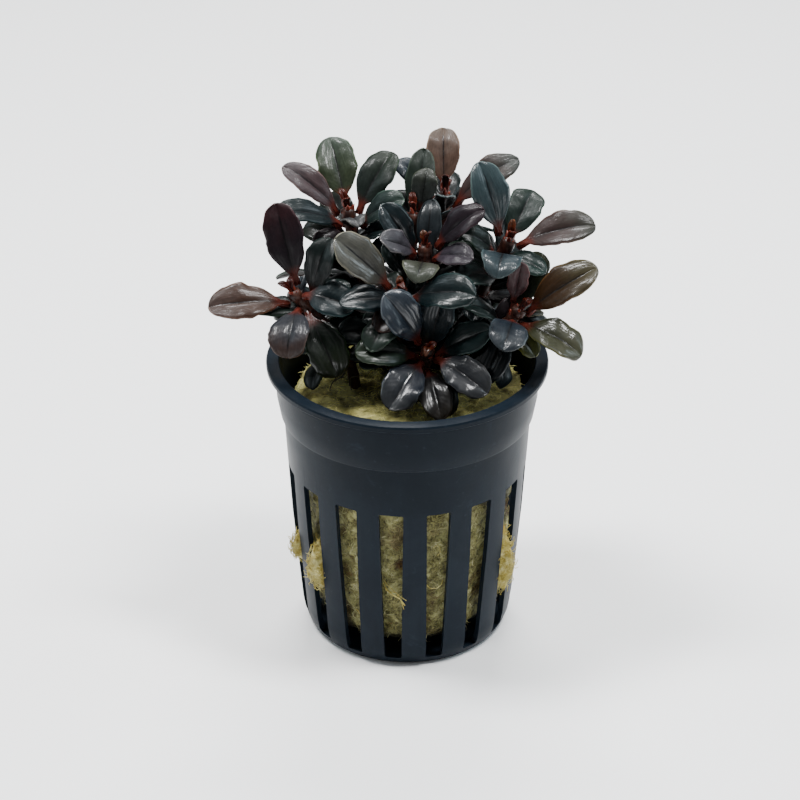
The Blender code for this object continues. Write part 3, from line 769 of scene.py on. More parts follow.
# Paints. Each grain is a noise: its scale, detail, roughness and distortion
LEAF_GAIN = 0.22
LEAF_VIVID = 1.5
LEAF_CLOUD = (260.0, 3.0, 0.55, 0.0)
LEAF_BLOTCH = (900.0, 4.0, 0.6, 0.0)
LEAF_PALE_BLOTCH = (420.0, 5.0, 0.65, 0.6)
LEAF_KNOBS = (1400.0, 3.0, 0.55, 0.0)
LEAF_RIPPLE = (2600.0, 3.0, 0.6, 0.0)
LEAF_STREAK = (1.0, 4.0, 0.6, 0.0)
LEAF_FILM = (1.0, 3.0, 0.6, 0.3)
STREAK_STRETCH = (5.0, 40.0, 1.0)
FILM_STRETCH = (2.6, 20.0, 1.0)
FILM_SPREAD = 90.0
FILM_POWER = 1.6
SLANT = 0.22
VEINS = 13.0
VEIN_SLANT = 2.6
VEIN_WANDER = 0.9
DARK_BLOTCH_SHADE = (0.45, 0.5, 0.5)
PALE_BLOTCH_SHADE = (1.7, 1.65, 1.6)
VEIN_SHADE = (1.5, 1.45, 1.4)
RIB_SHADE = (0.16, 0.16, 0.18)
# Pale thin leaf edge: partly the leaf's own pale margin, partly a painted highlight along the wet rim
EDGE_PALE_AND_HIGHLIGHT = (3.6, 3.4, 3.0)
STREAK_SHADES = ((0.62, 0.62, 0.64, 1.0), (1.35, 1.35, 1.3, 1.0))
STREAK_SPAN = (0.3, 0.7)
LEAF_COAT_ROUGHNESS = 0.05
LEAF_COAT_IOR = 1.6
LEAF_SPECULAR = 0.14

STEM_STRETCH = (1.0, 1.0, 0.3)
STEM_FLECK = (2600.0, 3.0, 0.55, 0.0)
STEM_FLECK_SHADE = (0.4, 0.4, 0.4)
STEM_GAIN = 0.6
STEM_SPECULAR = 0.3

POT_CLOUD = (60.0, 5.0, 0.6, 0.8)
POT_FLECK = (900.0, 4.0, 0.7, 0.0)
POT_SMEAR = (140.0, 6.0, 0.7, 1.4)
POT_KNOBS = (2200.0, 2.0, 0.55, 0.0)
POT_WAVES = (90.0, 2.0, 0.55, 0.0)
POT_TONE = (0.28, 1.15)
# Painted light: heights and factors that make the lower body lighter, standing in for light bounced up from the
# floor
POT_BOUNCE_LIGHT_HEIGHTS = (30.0 * MM, STEP_HEIGHT - 0.5 * MM)
POT_BOUNCE_LIGHT_FACTORS = (1.5, 1.4, 1.35)
POT_SPECULAR = 0.06

WOOL_VIVID = 1.15
WOOL_STRAND = (1500.0, 5.0, 0.7, 1.5)
WOOL_LUMP = (420.0, 4.0, 0.6, 0.5)
WOOL_WANDER = (520.0, 3.0, 0.6, 0.0)
WOOL_PATCH = (130.0, 3.0, 0.55, 0.6)
# Patches of the painted light on the top of the wool
WOOL_LIT_TOP_PATCH = (240.0, 4.0, 0.6, 0.0)
WOOL_FOOT = (8.5 * MM, 3.0 * MM)
# Heights over which the top of the wool is painted lighter, standing in for light from above
WOOL_LIT_TOP_HEIGHTS = (46.0 * MM, 51.0 * MM)
WOOL_SPECULAR = 0.35
# Brown soaked patches of the wool: slot, height and reach in mm
STAIN_RADIUS = 20.3
STAIN_WANDER = 4.0 * MM
STAIN_DENT = 0.9
WOOL_STAINS = (
    (15.2, 23.0, 2.3),
    (13.0, 32.0, 3.0),
    (1.4, 36.0, 2.2),
    (13.8, 19.0, 1.8),
    (0.25, 13.0, 1.6),
    (14.8, 9.0, 1.8),
    (3.0, 27.0, 3.0),
    (9.0, 22.0, 3.5),
)

chance = random.Random(4)


def tint(colour, gain=1.0, vivid=1.0):
    """A colour given from 0 to 255, as the linear values that the materials use."""
    linear = []
    for value in colour:
        share = value / 255.0
        low = share <= 0.04045
        linear.append((share / 12.92 if low else ((share + 0.055) / 1.055) ** 2.4) * gain)
    grey = 0.2126 * linear[0] + 0.7152 * linear[1] + 0.0722 * linear[2]
    return (*[max(grey + (value - grey) * vivid, 0.0) for value in linear], 1.0)


def slot_angle(number):
    return math.radians(SLOT_TURN - 90.0 + number * 360.0 / SLOT_COUNT)


class Paint:
    """Adds and joins the nodes of one material."""

    def __init__(self, name):
        self.material = bpy.data.materials.new(name)
        self.material.use_nodes = True
        self.tree = self.material.node_tree
        self.shader = self.tree.nodes["Principled BSDF"]
        self.spot = self.add("ShaderNodeTexCoord").outputs["Object"]

    def add(self, kind, inputs=None, **settings):
        node = self.tree.nodes.new(kind)
        for key, value in settings.items():
            setattr(node, key, value)
        for key, value in (inputs or {}).items():
            self.put(node.inputs[key], value)
        return node

    def put(self, socket, value):
        if isinstance(value, bpy.types.NodeSocket):
            self.tree.links.new(value, socket)
        else:
            socket.default_value = value

    def set(self, name, value):
        self.put(self.shader.inputs[name], value)

    def sum(self, operation, first, second=0.0, third=0.0):
        inputs = {0: first, 1: second, 2: third}
        return self.add("ShaderNodeMath", inputs, operation=operation).outputs[0]

    def times(self, first, second):
        return self.sum("MULTIPLY", first, second)

    def plus(self, first, second):
        return self.sum("ADD", first, second)

    def minus(self, first, second):
        return self.sum("SUBTRACT", first, second)

    def span(self, value, low, high):
        """A smooth step of a value from low to high."""
        node = self.add("ShaderNodeMapRange", {0: value, 1: low, 2: high, 3: 0.0, 4: 1.0})
        node.interpolation_type = "SMOOTHSTEP"
        return node.outputs[0]

    def mix(self, share, first, second, blend="MIX"):
        inputs = {0: share, 6: first, 7: second}
        return self.add("ShaderNodeMix", inputs, data_type="RGBA", blend_type=blend).outputs[2]

    def shade(self, share, colour, factors):
        """A colour multiplied by three factors, as far as the share goes."""
        return self.mix(share, colour, self.mix(1.0, colour, (*factors, 1.0), "MULTIPLY"))

    def grain(self, place, grain):
        inputs = dict(zip(("Scale", "Detail", "Roughness", "Distortion"), grain))
        return self.add("ShaderNodeTexNoise", {"Vector": place, **inputs}).outputs["Fac"]

    def patches(self, grain, low, high):
        """Soft-edged patches: a grain's smooth step from low to high."""
        return self.span(self.grain(self.spot, grain), low, high)

    def stretch(self, place, scale):
        return self.add("ShaderNodeMapping", {"Vector": place, "Scale": scale}).outputs[0]

    def height(self):
        return self.add("ShaderNodeSeparateXYZ", {0: self.spot}).outputs[2]

    def bump(self, height, strength, depth, under=None):
        node = self.add("ShaderNodeBump", {"Height": height, "Strength": strength, "Distance": depth})
        if under is not None:
            self.put(node.inputs["Normal"], under)
        return node.outputs["Normal"]


STALK_RED = tint((112, 46, 34), 0.55)
STALK_DARK = tint((58, 24, 20), 0.5)


def leaf_paint(name, under):
    """Blade of a leaf: its own two colours, dark midrib with a painted shade in the groove beside it, red stalk,
    pale thin edge that is partly a painted highlight, and fine streaks.
    """
    p = Paint(name)
    parts = p.add("ShaderNodeSeparateXYZ", {0: p.add("ShaderNodeUVMap").outputs["UV"]})
    along = parts.outputs[0]
    across = p.sum("ABSOLUTE", p.sum("MULTIPLY_ADD", parts.outputs[1], 2.0, -1.0))
    blade = p.add("ShaderNodeAttribute", attribute_name="blade").outputs["Color"]
    tip = p.add("ShaderNodeAttribute", attribute_name="tip").outputs["Color"]
    wet = p.add("ShaderNodeAttribute", attribute_name="wet").outputs["Fac"]
    cloud = p.grain(p.spot, LEAF_CLOUD)
    wander = p.sum("MULTIPLY_ADD", cloud, 0.5, -0.25)
    colour = p.mix(p.span(p.plus(along, wander), 0.45, 1.0), blade, tip)
    colour = p.shade(p.times(p.patches(LEAF_BLOTCH, 0.42, 0.72), 0.35), colour, DARK_BLOTCH_SHADE)
    colour = p.shade(p.times(p.patches(LEAF_PALE_BLOTCH, 0.55, 0.8), 0.35), colour, PALE_BLOTCH_SHADE)
    vein_phase = p.minus(p.times(along, VEINS), p.times(across, VEIN_SLANT))
    vein = p.sum("SINE", p.times(p.plus(vein_phase, p.times(cloud, VEIN_WANDER)), math.tau))
    colour = p.shade(p.times(p.span(vein, 0.6, 1.0), 0.05), colour, VEIN_SHADE)
    rib = p.times(p.span(across, 0.1, 0.035), p.span(along, 0.92, 0.78))
    # Painted shade: a soft dark band beside the midrib, in the groove where shade falls; the narrow rib itself is
    # the leaf's own dark midrib
    groove_painted_shade = p.times(p.span(across, 0.45, 0.03), p.span(along, 0.85, 0.4))
    rib = p.sum("MAXIMUM", rib, p.times(groove_painted_shade, 0.4))
    if under:
        colour = p.mix(rib, colour, p.mix(0.5, colour, STALK_RED))
    else:
        colour = p.shade(rib, colour, RIB_SHADE)
    # The pale edge is partly the leaf's own margin and partly a painted highlight along the wet rim
    edge = p.span(p.plus(across, p.times(wander, 0.1)), 0.9, 0.97)
    colour = p.shade(p.times(edge, 0.7), colour, EDGE_PALE_AND_HIGHLIGHT)
    slant = p.minus(along, p.times(across, SLANT))
    slant_place = p.add("ShaderNodeCombineXYZ", {0: slant, 1: parts.outputs[1]}).outputs[0]
    streak = p.grain(p.stretch(slant_place, STREAK_STRETCH), LEAF_STREAK)
    shade = p.mix(p.span(streak, *STREAK_SPAN), *STREAK_SHADES)
    colour = p.mix(0.6, colour, p.mix(1.0, colour, shade, "MULTIPLY"))
    red = p.mix(p.span(streak, 0.35, 0.65), STALK_DARK, STALK_RED)
    colour = p.mix(p.span(p.plus(along, p.times(wander, 0.3)), 0.27, 0.1), colour, red)
    if under:
        colour = p.mix(0.35, colour, tint((66, 54, 52), 0.6))
    p.set("Base Color", colour)
    lift = p.add("ShaderNodeVectorMath", {0: p.spot, "Scale": FILM_SPREAD}, operation="SCALE").outputs[0]
    own_place = p.add("ShaderNodeVectorMath", {0: p.stretch(slant_place, FILM_STRETCH), 1: lift}).outputs[0]
    film = p.times(p.span(p.grain(own_place, LEAF_FILM), 0.46, 0.62), p.sum("POWER", wet, FILM_POWER))
    rough = p.plus(p.times(streak, 0.2), 0.4 if under else 0.33)
    p.set("Roughness", p.minus(rough, p.times(film, 0.14)))
    p.set("Coat Weight", p.times(film, 0.3 if under else 1.0))
    p.set("Coat Roughness", LEAF_COAT_ROUGHNESS)
    p.set("Coat IOR", LEAF_COAT_IOR)
    p.set("Specular IOR Level", LEAF_SPECULAR)
    normal = p.bump(vein, 0.12, 0.03 * MM)
    normal = p.bump(streak, 0.5, 0.06 * MM, normal)
    p.set("Normal", p.bump(p.grain(p.spot, LEAF_KNOBS), 0.4, 0.06 * MM, normal))
    ripple = p.bump(p.grain(p.spot, LEAF_RIPPLE), 0.4, 0.05 * MM)
    p.set("Coat Normal", p.bump(streak, 0.5, 0.08 * MM, ripple))
    return p.material


def stem_paint(name, low, high, scale):
    """Skin of stems and sheaths: two colours in long streaks, rings and fine knobs."""
    p = Paint(name)
    streak = p.grain(p.stretch(p.spot, STEM_STRETCH), (scale, 4.0, 0.6, 0.5))
    colour = p.mix(p.span(streak, 0.35, 0.65), tint(low, STEM_GAIN), tint(high, STEM_GAIN))
    p.set("Base Color", p.shade(p.times(p.patches(STEM_FLECK, 0.55, 0.7), 0.4), colour, STEM_FLECK_SHADE))
    p.set("Roughness", p.plus(p.times(streak, 0.25), 0.3))
    p.set("Specular IOR Level", STEM_SPECULAR)
    p.set("Normal", p.bump(streak, 0.5, 0.2 * MM))
    return p.material


def pot_paint():
    """Satin moulded plastic: almost even, with faint cloudy wear, dull rubbed patches, fine dust, and a painted
    light that makes the lower body lighter.
    """
    p = Paint("fine_slate_plastic")
    cloud = p.grain(p.spot, POT_CLOUD)
    colour = p.mix(p.span(cloud, 0.35, 0.7), tint((33, 43, 54), *POT_TONE), tint((42, 53, 64), *POT_TONE))
    # Painted light: the colour gets lighter from below the band down to the foot, as light bounced off the floor
    # would make it
    lower, upper = POT_BOUNCE_LIGHT_HEIGHTS
    painted_bounce_light = p.mix(1.0, colour, (*POT_BOUNCE_LIGHT_FACTORS, 1.0), "MULTIPLY")
    colour = p.mix(p.span(p.height(), upper, lower), colour, painted_bounce_light)
    colour = p.mix(p.times(p.patches(POT_FLECK, 0.60, 0.78), 0.25), colour, tint((70, 80, 92), 0.6))
    smear = p.patches(POT_SMEAR, 0.58, 0.75)
    p.set("Base Color", p.mix(p.times(smear, 0.2), colour, tint((70, 82, 96), 0.6)))
    rough = p.plus(p.times(cloud, 0.22), 0.27)
    p.set("Roughness", p.plus(rough, p.times(smear, 0.12)))
    p.set("Specular IOR Level", POT_SPECULAR)
    normal = p.bump(p.grain(p.spot, POT_KNOBS), 0.12, 0.08 * MM)
    p.set("Normal", p.bump(p.grain(p.spot, POT_WAVES), 0.25, 0.4 * MM, normal))
    return p.material


def wool_paint(name, pale, middle, dark, brown):
    """Wet rock wool: olive and straw fibres, brown soaked patches, darker towards the foot, and a top painted
    lighter as light from above would make it.
    """
    p = Paint(name)
    height = p.height()
    strand = p.grain(p.spot, WOOL_STRAND)
    lump = p.grain(p.spot, WOOL_LUMP)
    colour = p.mix(p.span(strand, 0.38, 0.62), tint(dark, 1.0, WOOL_VIVID), tint(middle, 1.0, WOOL_VIVID))
    colour = p.mix(p.span(lump, 0.45, 0.68), colour, tint(pale, 1.0, WOOL_VIVID))
    wander = p.grain(p.spot, WOOL_WANDER)
    stain = p.times(p.patches(WOOL_PATCH, 0.56, 0.68), 0.7)
    for number, level, reach in WOOL_STAINS:
        angle = slot_angle(number)
        middle_place = Vector((math.cos(angle) * STAIN_RADIUS, math.sin(angle) * STAIN_RADIUS, level)) * MM
        gap = p.add("ShaderNodeVectorMath", {0: p.spot, 1: middle_place}, operation="DISTANCE").outputs["Value"]
        gap = p.plus(gap, p.times(p.minus(wander, 0.5), STAIN_WANDER))
        stain = p.sum("MAXIMUM", stain, p.span(gap, reach * MM, reach / 2.0 * MM))
    colour = p.mix(p.times(stain, 0.88), colour, tint(brown, 0.8, 1.3))
    colour = p.mix(p.span(height, *WOOL_FOOT), colour, tint((26, 26, 20), 0.5))
    # Painted light: towards the top the colour is swapped for brighter copies of the wool colours, standing in
    # for the light that falls there
    soft = p.mix(p.patches(WOOL_LIT_TOP_PATCH, 0.35, 0.62), tint(dark, 2.0, 1.3), tint(middle, 2.5, WOOL_VIVID))
    p.set("Base Color", p.mix(p.times(p.span(height, *WOOL_LIT_TOP_HEIGHTS), 0.72), colour, soft))
    p.set("Roughness", p.plus(p.times(lump, 0.3), 0.35))
    p.set("Specular IOR Level", WOOL_SPECULAR)
    p.set("Normal", p.bump(strand, 0.9, 0.7 * MM))
    return p.material


def floor_paint():
    """Plain pale matt floor with a barely seen mottle."""
    p = Paint("pale_floor")
    mottle = p.grain(p.spot, (3.0, 2.0, 0.55, 0.0))
    p.set("Base Color", p.mix(mottle, (0.90, 0.90, 0.90, 1.0), (0.94, 0.94, 0.94, 1.0)))
    p.set("Roughness", 0.9)
    return p.material


UPPER = leaf_paint("fine_leaf_upper", False)
UNDER = leaf_paint("fine_leaf_under", True)
STEM_SKIN = stem_paint("fine_red_stem", (44, 24, 20), (84, 48, 36), 700.0)
SHEATH_SKIN = stem_paint("fine_red_sheath", (96, 32, 22), (160, 70, 50), 900.0)
ROOT_SKIN = stem_paint("fine_root", (60, 54, 36), (124, 112, 76), 900.0)
PLASTIC = pot_paint()
WOOL = wool_paint("fine_rock_wool", (192, 189, 138), (152, 148, 100), (74, 69, 40), (70, 46, 20))
FIBRE = wool_paint("fine_wool_fibre", (236, 233, 190), (196, 192, 142), (116, 110, 72), (110, 80, 42))
TUFT = wool_paint("fine_wool_tuft", (232, 226, 170), (210, 198, 126), (168, 146, 76), (204, 152, 66))

DOUBLES = 0.000002
FIRST_SIDE = Vector((0.31, 0.82, 0.48))


def pick(*items):
    """Select these objects alone, the first of them active."""
    bpy.ops.object.select_all(action="DESELECT")
    for item in items:
        item.select_set(True)
    bpy.context.view_layer.objects.active = items[0]


def shaped_grid(name, steps, cells, place, *materials):
    """A grid whose points are set by their shares along and across, which are also its UV map."""
    bpy.ops.object.select_all(action="DESELECT")
    bpy.ops.mesh.primitive_grid_add(x_subdivisions=steps, y_subdivisions=cells, size=2.0, calc_uvs=True)
    item = bpy.context.object
    item.name = name
    item.data.name = name
    for vert in item.data.vertices:
        vert.co = place((vert.co.x + 1.0) / 2.0, (vert.co.y + 1.0) / 2.0)
    for material in materials:
        item.data.materials.append(material)
    return item


def merge(item, outward=True):
    """Merge doubles, and turn all faces outwards."""
    pick(item)
    bpy.ops.object.mode_set(mode="EDIT")
    bpy.ops.mesh.select_all(action="SELECT")
    bpy.ops.mesh.remove_doubles(threshold=DOUBLES)
    if outward:
        bpy.ops.mesh.normals_make_consistent(inside=False)
    bpy.ops.object.mode_set(mode="OBJECT")
    return item


def smooth(item):
    """Smooth the shading of a whole object."""
    pick(item)
    bpy.ops.object.shade_smooth()
    return item


def join(items):
    """Join objects into the first of them."""
    pick(*items)
    if len(items) > 1:
        bpy.ops.object.join()
    return items[0]


def add_object(name, data):
    item = bpy.data.objects.new(name, data)
    bpy.context.scene.collection.objects.link(item)
    return item


def apply_modifier(item, kind, **settings):
    """Add one modifier to an object and apply it."""
    modifier = item.modifiers.new(kind, kind)
    for key, value in settings.items():
        setattr(modifier, key, value)
    pick(item)
    bpy.ops.object.modifier_apply(modifier=modifier.name)


def tube(name, line, sides, material, share_at=None):
    """A closed round tube along points with a radius each, and its own share along as UV."""
    places = [Vector(place) for place, _ in line]
    frames = []
    side = FIRST_SIDE
    for number, place in enumerate(places):
        ahead = (places[min(number + 1, len(places) - 1)] - places[max(number - 1, 0)]).normalized()
        side = (side - ahead * ahead.dot(side)).normalized()
        frames.append((side.copy(), ahead.cross(side)))

    def ring(u, v):
        number = round(u * (len(line) - 1))
        first, second = frames[number]
        turn = v * math.tau
        return places[number] + (first * math.cos(turn) + second * math.sin(turn)) * line[number][1]

    item = shaped_grid(name, len(line) - 1, sides, ring, material)
    if share_at is not None:
        for loop in item.data.uv_layers[0].data:
            loop.uv = (share_at[round(loop.uv[0] * (len(line) - 1))], 0.5)
    return smooth(merge(item))


def strands(name, lines, material):
    """Many thin strands in one mesh: each is a list of points with a radius."""
    curve = bpy.data.curves.new(name, "CURVE")
    curve.dimensions = "3D"
    curve.bevel_depth = 1.0
    curve.bevel_resolution = 0
    curve.use_fill_caps = False
    for line in lines:
        spline = curve.splines.new("POLY")
        spline.points.add(len(line) - 1)
        for point, (place, radius) in zip(spline.points, line):
            point.co = (*place, 1.0)
            point.radius = radius
    pick(add_object(name, curve))
    bpy.ops.object.convert(target="MESH")
    item = bpy.context.object
    item.name = name
    item.data.name = name
    item.data.materials.clear()
    item.data.materials.append(material)
    return smooth(item)


def limit(value):
    return max(0.0, min(1.0, value))


def fine_half_width(share, width):
    """Half the width of a fine leaf: a stalk that narrows, then a rounded spoon."""
    stalk = STALK_WIDTH / 2.0
    start = STALK_SHARE * STALK_END
    if share <= start:
        return stalk
    along = (share - start) / (1.0 - start)
    if along < FINE_WIDEST:
        full = (1.0 - (1.0 - along / FINE_WIDEST) ** 2) ** RISE_POWER
    else:
        full = math.sqrt(max(1.0 - ((along - FINE_WIDEST) / (1.0 - FINE_WIDEST)) ** TIP_POWER, 0.0))
    if share > 0.5:
        return width / 2.0 * full
    return max(stalk, width / 2.0 * full)


def fine_point(share, side, length, width, curl, habit):
    """A point of a fine leaf: the solid's bent sheet with a groove, domed halves and a ruffled edge."""
    seed, ruffle, twist, droop = habit
    ragged = noise.fractal(Vector((share * RAGS[0], math.copysign(RAGS[1], side), seed)), 0.9, 2.0, 3)
    away = abs(side)
    half = fine_half_width(share, width) * (1.0 + EDGE_WANDER * ragged * min(1.0, away * 2.0))
    blade = limit((share - BLADE_START) / FADE)
    lift = FINE_CUP * half * (2.0 * away ** CUP_POWER - 1.0) * blade
    lift += DOME * half * math.sin(math.pi * away) * blade
    lift -= GROOVE * math.exp(-((side / GROOVE_WIDTH) ** 2)) * blade * limit((GROOVE_END - share) / FADE)
    wave = noise.noise(Vector((share * WAVES[0], math.copysign(WAVES[1], side), seed + WAVES[2])))
    lift += ruffle * away ** 3 * wave * WAVE_GAIN * blade
    lift += DENT * noise.noise(Vector((share * DENTS[0], side * DENTS[1], seed + DENTS[2]))) * blade
    lift -= droop * max(0.0, share - DROOP_START) ** 2
    roll = math.radians(twist) * (share - ROLL_MIDDLE)
    lift += side * half * math.sin(roll)
    along, up = on_arc(share, length, curl, lift)
    return Vector((along, side * half * math.cos(roll), up))


def paint_leaf(mesh, look, shade):
    """Give a leaf its own colours and wetness."""
    blade, tip, wet = look
    for title, colour in (("blade", blade), ("tip", tip)):
        layer = mesh.attributes.new(title, "FLOAT_COLOR", "POINT")
        value = tint(colour, LEAF_GAIN * shade, LEAF_VIVID)
        for spot in layer.data:
            spot.color = value
    layer = mesh.attributes.new("wet", "FLOAT", "POINT")
    for spot in layer.data:
        spot.value = wet


def fine_leaf(name, place, curl, look, grid):
    """A leaf with skin, stalk and raised midrib, in its place on the plant."""
    matrix, chord, width = place
    luck = random.Random(name)
    habit = (
        luck.uniform(0.0, 90.0),
        RUFFLE * luck.uniform(LEAST_RUFFLE, MOST_RUFFLE) * width / RUFFLE_LEAF,
        luck.uniform(-MOST_TWIST, MOST_TWIST),
        luck.uniform(0.0, MOST_DROOP) * MM,
    )

    def shares(u, v):
        spread = v * 2.0 - 1.0
        return 1.0 - max(0.0, 1.0 - u) ** ROW_POWER, math.copysign(abs(spread) ** SIDE_POWER, spread)

    def sheet(u, v):
        share, side = shares(u, v)
        return matrix @ fine_point(share, side, chord, width, curl, habit)

    leaf = shaped_grid(name, *grid, sheet, UPPER, UNDER)
    for loop in leaf.data.uv_layers[0].data:
        share, side = shares(loop.uv[0], loop.uv[1])
        loop.uv = (share, side / 2.0 + 0.5)
    merge(leaf, outward=False)
    apply_modifier(leaf, "SOLIDIFY", thickness=LEAF_SKIN, offset=0.0, material_offset=1)
    smooth(leaf)
    line = []
    for share, radius in STALK_RADII:
        radius *= MM * min(1.0, width / STALK_LEAF)
        middle = fine_point(share, 0.0, chord, width, curl, habit)
        middle.z -= radius * STALK_SINK
        line.append((matrix @ middle, radius))
    stalk = tube(name + "_stalk", line, STALK_SIDES, UPPER, [share for share, _ in STALK_RADII])
    join([leaf, stalk])
    paint_leaf(leaf.data, look, 1.0 + luck.uniform(-SHADE_RANGE, SHADE_RANGE))
    return leaf


def bud(name, foot, axis, out, length, width):
    """A short pointed scale that stands against the crown."""
    line = []
    for share, radius in BUD_RADII:
        place = foot + axis * (length * share) + out * (width * (BUD_LEAN[0] + BUD_LEAN[1] * share * share))
        line.append((place, radius * width))
    return tube(name, line, BUD_SIDES, SHEATH_SKIN)


def root_line(path, number):
    """A thin curly root from low on the stem to the wool beside it."""
    spin = chance.uniform(0.0, math.tau)
    start = down_the_stem(path, path_length(path) * chance.uniform(*ROOT_STARTS))
    reach = chance.uniform(*ROOT_REACHES) * MM
    end = start + Vector((math.cos(spin) * reach, math.sin(spin) * reach, 0.0))
    end.z = WOOL_TOP + ROOT_END
    root = []
    for step in range(ROOT_STEPS + 1):
        t = step / ROOT_STEPS
        place = start.lerp(end, t)
        curl = noise.noise_vector(place * ROOT_CURLS + Vector((number, 0.0, 0.0)))
        place += curl * ROOT_CURL * math.sin(math.pi * t)
        place.z += ROOT_BOW * math.sin(math.pi * t) * (1.0 - t)
        root.append((place, (ROOT_RADIUS - ROOT_THINNER * t) * MM))
    return root


def fine_stem(name, path):
    """Stem with leaf scars, the sheaths and young leaves of its crown, and its roots."""
    crown, turn = stem_frame(name)
    axis = turn @ UP
    line = []
    for number, place in enumerate(stem_path(name, FINE_STEM_STEPS, STEM_SUNK)):
        share = number / FINE_STEM_STEPS
        ring = STEM_RING * math.sin(share * STEM_RING_TURNS) + STEM_KNOB * noise.noise(place * STEM_KNOB_SCALE)
        swell = (CROWN_RADIUS - STEM_RADIUS) * max(0.0, share * 5.0 - 4.0)
        end = number in (0, FINE_STEM_STEPS)
        line.append((place, 0.0 if end else STEM_RADIUS + swell + ring))
    pieces = [tube(name + "_stem", line, STEM_SIDES, STEM_SKIN)]
    first = chance.uniform(0.0, 360.0)
    for number in range(BUD_COUNT):
        out = turn @ level_way(math.radians(first + number * BUD_TURN))
        foot = down_the_stem(path, (BUD_DROP - BUD_STEP * number) * MM)
        length = chance.uniform(*BUD_LENGTHS) * MM
        pieces.append(bud(name + "_bud", foot, axis, out, length, chance.uniform(*BUD_WIDTHS) * MM))
    for number in range(YOUNG_COUNT):
        out = turn @ level_way(math.radians(first + YOUNG_TURNS[0] + number * YOUNG_TURNS[1]))
        length = (YOUNG_LENGTHS[0] - YOUNG_LENGTHS[1] * number) * MM
        opening = YOUNG_OPENINGS[0] + YOUNG_OPENINGS[1] * number
        matrix, chord = leaf_place(crown, crown, axis, out, opening, length, LIGHT, True)
        place = (matrix, chord, YOUNG_WIDTH)
        look = chance.choice(YOUNG_LOOKS)
        pieces.append(fine_leaf(name + "_young_" + str(number), place, YOUNG_CURL, look, SMALL_GRID))
    roots = [root_line(path, number) for number in range(ROOT_COUNT)]
    pieces.append(strands(name + "_roots", roots, ROOT_SKIN))
    return pieces


def make_plant():
    """Every leaf and stem, grown from one seed; the curl of the roots needs a seed of its own kind."""
    chance.seed(PLANT_SEED)
    noise.seed_set(PLANT_SEED)
    grown, own, carried = grow_plant()
    for stem, row, place in own:
        look = LOOKS[stem + "_" + row[0]]
        leaf = fine_leaf(stem + "_leaf_" + row[0], place, row[5], look, LEAF_GRID)
        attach(leaf, "root")
        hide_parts("leaf_" + stem + "_" + row[0])
    for name, path in grown["stems"].items():
        pieces = fine_stem(name, path)
        for number, (place, curl, look) in enumerate(carried[name]):
            pieces.append(fine_leaf(name + "_small_" + str(number), place, curl, look, SMALL_GRID))
        stem = join(pieces)
        stem.name = name + "_stem"
        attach(stem, "root")
        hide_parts("stem_" + name)


# Pot. Radius and height of each corner of its turned outline, from the lip down outside and up again inside
POT_STEPS = 144
POT_OUTLINE = (
    (LIP_INNER_RADIUS, POT_HEIGHT - 0.15 * MM),
    (LIP_INNER_RADIUS + 0.15 * MM, POT_HEIGHT),
    (LIP_RADIUS - 0.45 * MM, POT_HEIGHT),
    (LIP_RADIUS - 0.18 * MM, POT_HEIGHT - 0.08 * MM),
    (LIP_RADIUS, POT_HEIGHT - 0.4 * MM),
    (LIP_RADIUS - 0.04 * MM, POT_HEIGHT - LIP_THICKNESS + 0.2 * MM),
    (LIP_RADIUS - 0.25 * MM, POT_HEIGHT - LIP_THICKNESS),
    (BAND_RADIUS + 0.25 * MM, POT_HEIGHT - LIP_THICKNESS - 0.02 * MM),
    (BAND_RADIUS, POT_HEIGHT - LIP_THICKNESS - 0.3 * MM),
    (BAND_RADIUS - 0.1 * MM, BAND_MIDDLE),
    (BAND_WAIST_RADIUS + 0.05 * MM, STEP_HEIGHT + 0.75 * MM),
    (BAND_WAIST_RADIUS - 0.1 * MM, STEP_HEIGHT + 0.35 * MM),
    (BODY_TOP_RADIUS + 0.05 * MM, STEP_HEIGHT + 0.05 * MM),
    (BODY_TOP_RADIUS, STEP_HEIGHT - 0.4 * MM),
    (BODY_MIDDLE_RADIUS, BODY_MIDDLE),
    (BODY_LOW_RADIUS, BODY_LOW),
    (BODY_LOW_RADIUS - 0.35 * MM, 3.0 * MM),
    (BASE_RADIUS + 1.3 * MM, 1.2 * MM),
    (BASE_RADIUS + 0.7 * MM, 0.35 * MM),
    (BASE_RADIUS, 0.0),
    (0.0, 0.0),
    (0.0, WALL),
    (BASE_RADIUS, WALL),
    (BODY_LOW_RADIUS - WALL, BODY_LOW),
    (BODY_MIDDLE_RADIUS - WALL, BODY_MIDDLE),
    (BODY_TOP_RADIUS - WALL, STEP_HEIGHT),
    (LIP_INNER_RADIUS - 0.3 * MM, STEP_HEIGHT + 3.0 * MM),
    (LIP_INNER_RADIUS, POT_HEIGHT - 0.15 * MM),
)
POT_DOUBLES = 0.000005
SLOT_ROUNDING = 0.35 * MM
SHARPEST_SMOOTH = 32.0


def slot_block(number):
    """A tapered block that cuts one slot."""
    bpy.ops.object.select_all(action="DESELECT")
    bpy.ops.mesh.primitive_cube_add(size=1.0)
    block = bpy.context.object
    spin = Matrix.Rotation(slot_angle(number), 4, "Z")
    for vert in block.data.vertices:
        high = vert.co.z > 0.0
        out = BODY_MIDDLE_RADIUS + vert.co.x * CUTTER_DEPTH
        across = vert.co.y * (SLOT_WIDTH_TOP if high else SLOT_WIDTH_BOTTOM)
        vert.co = spin @ Vector((out, across, SLOT_TOP if high else SLOT_BOTTOM))
    return block


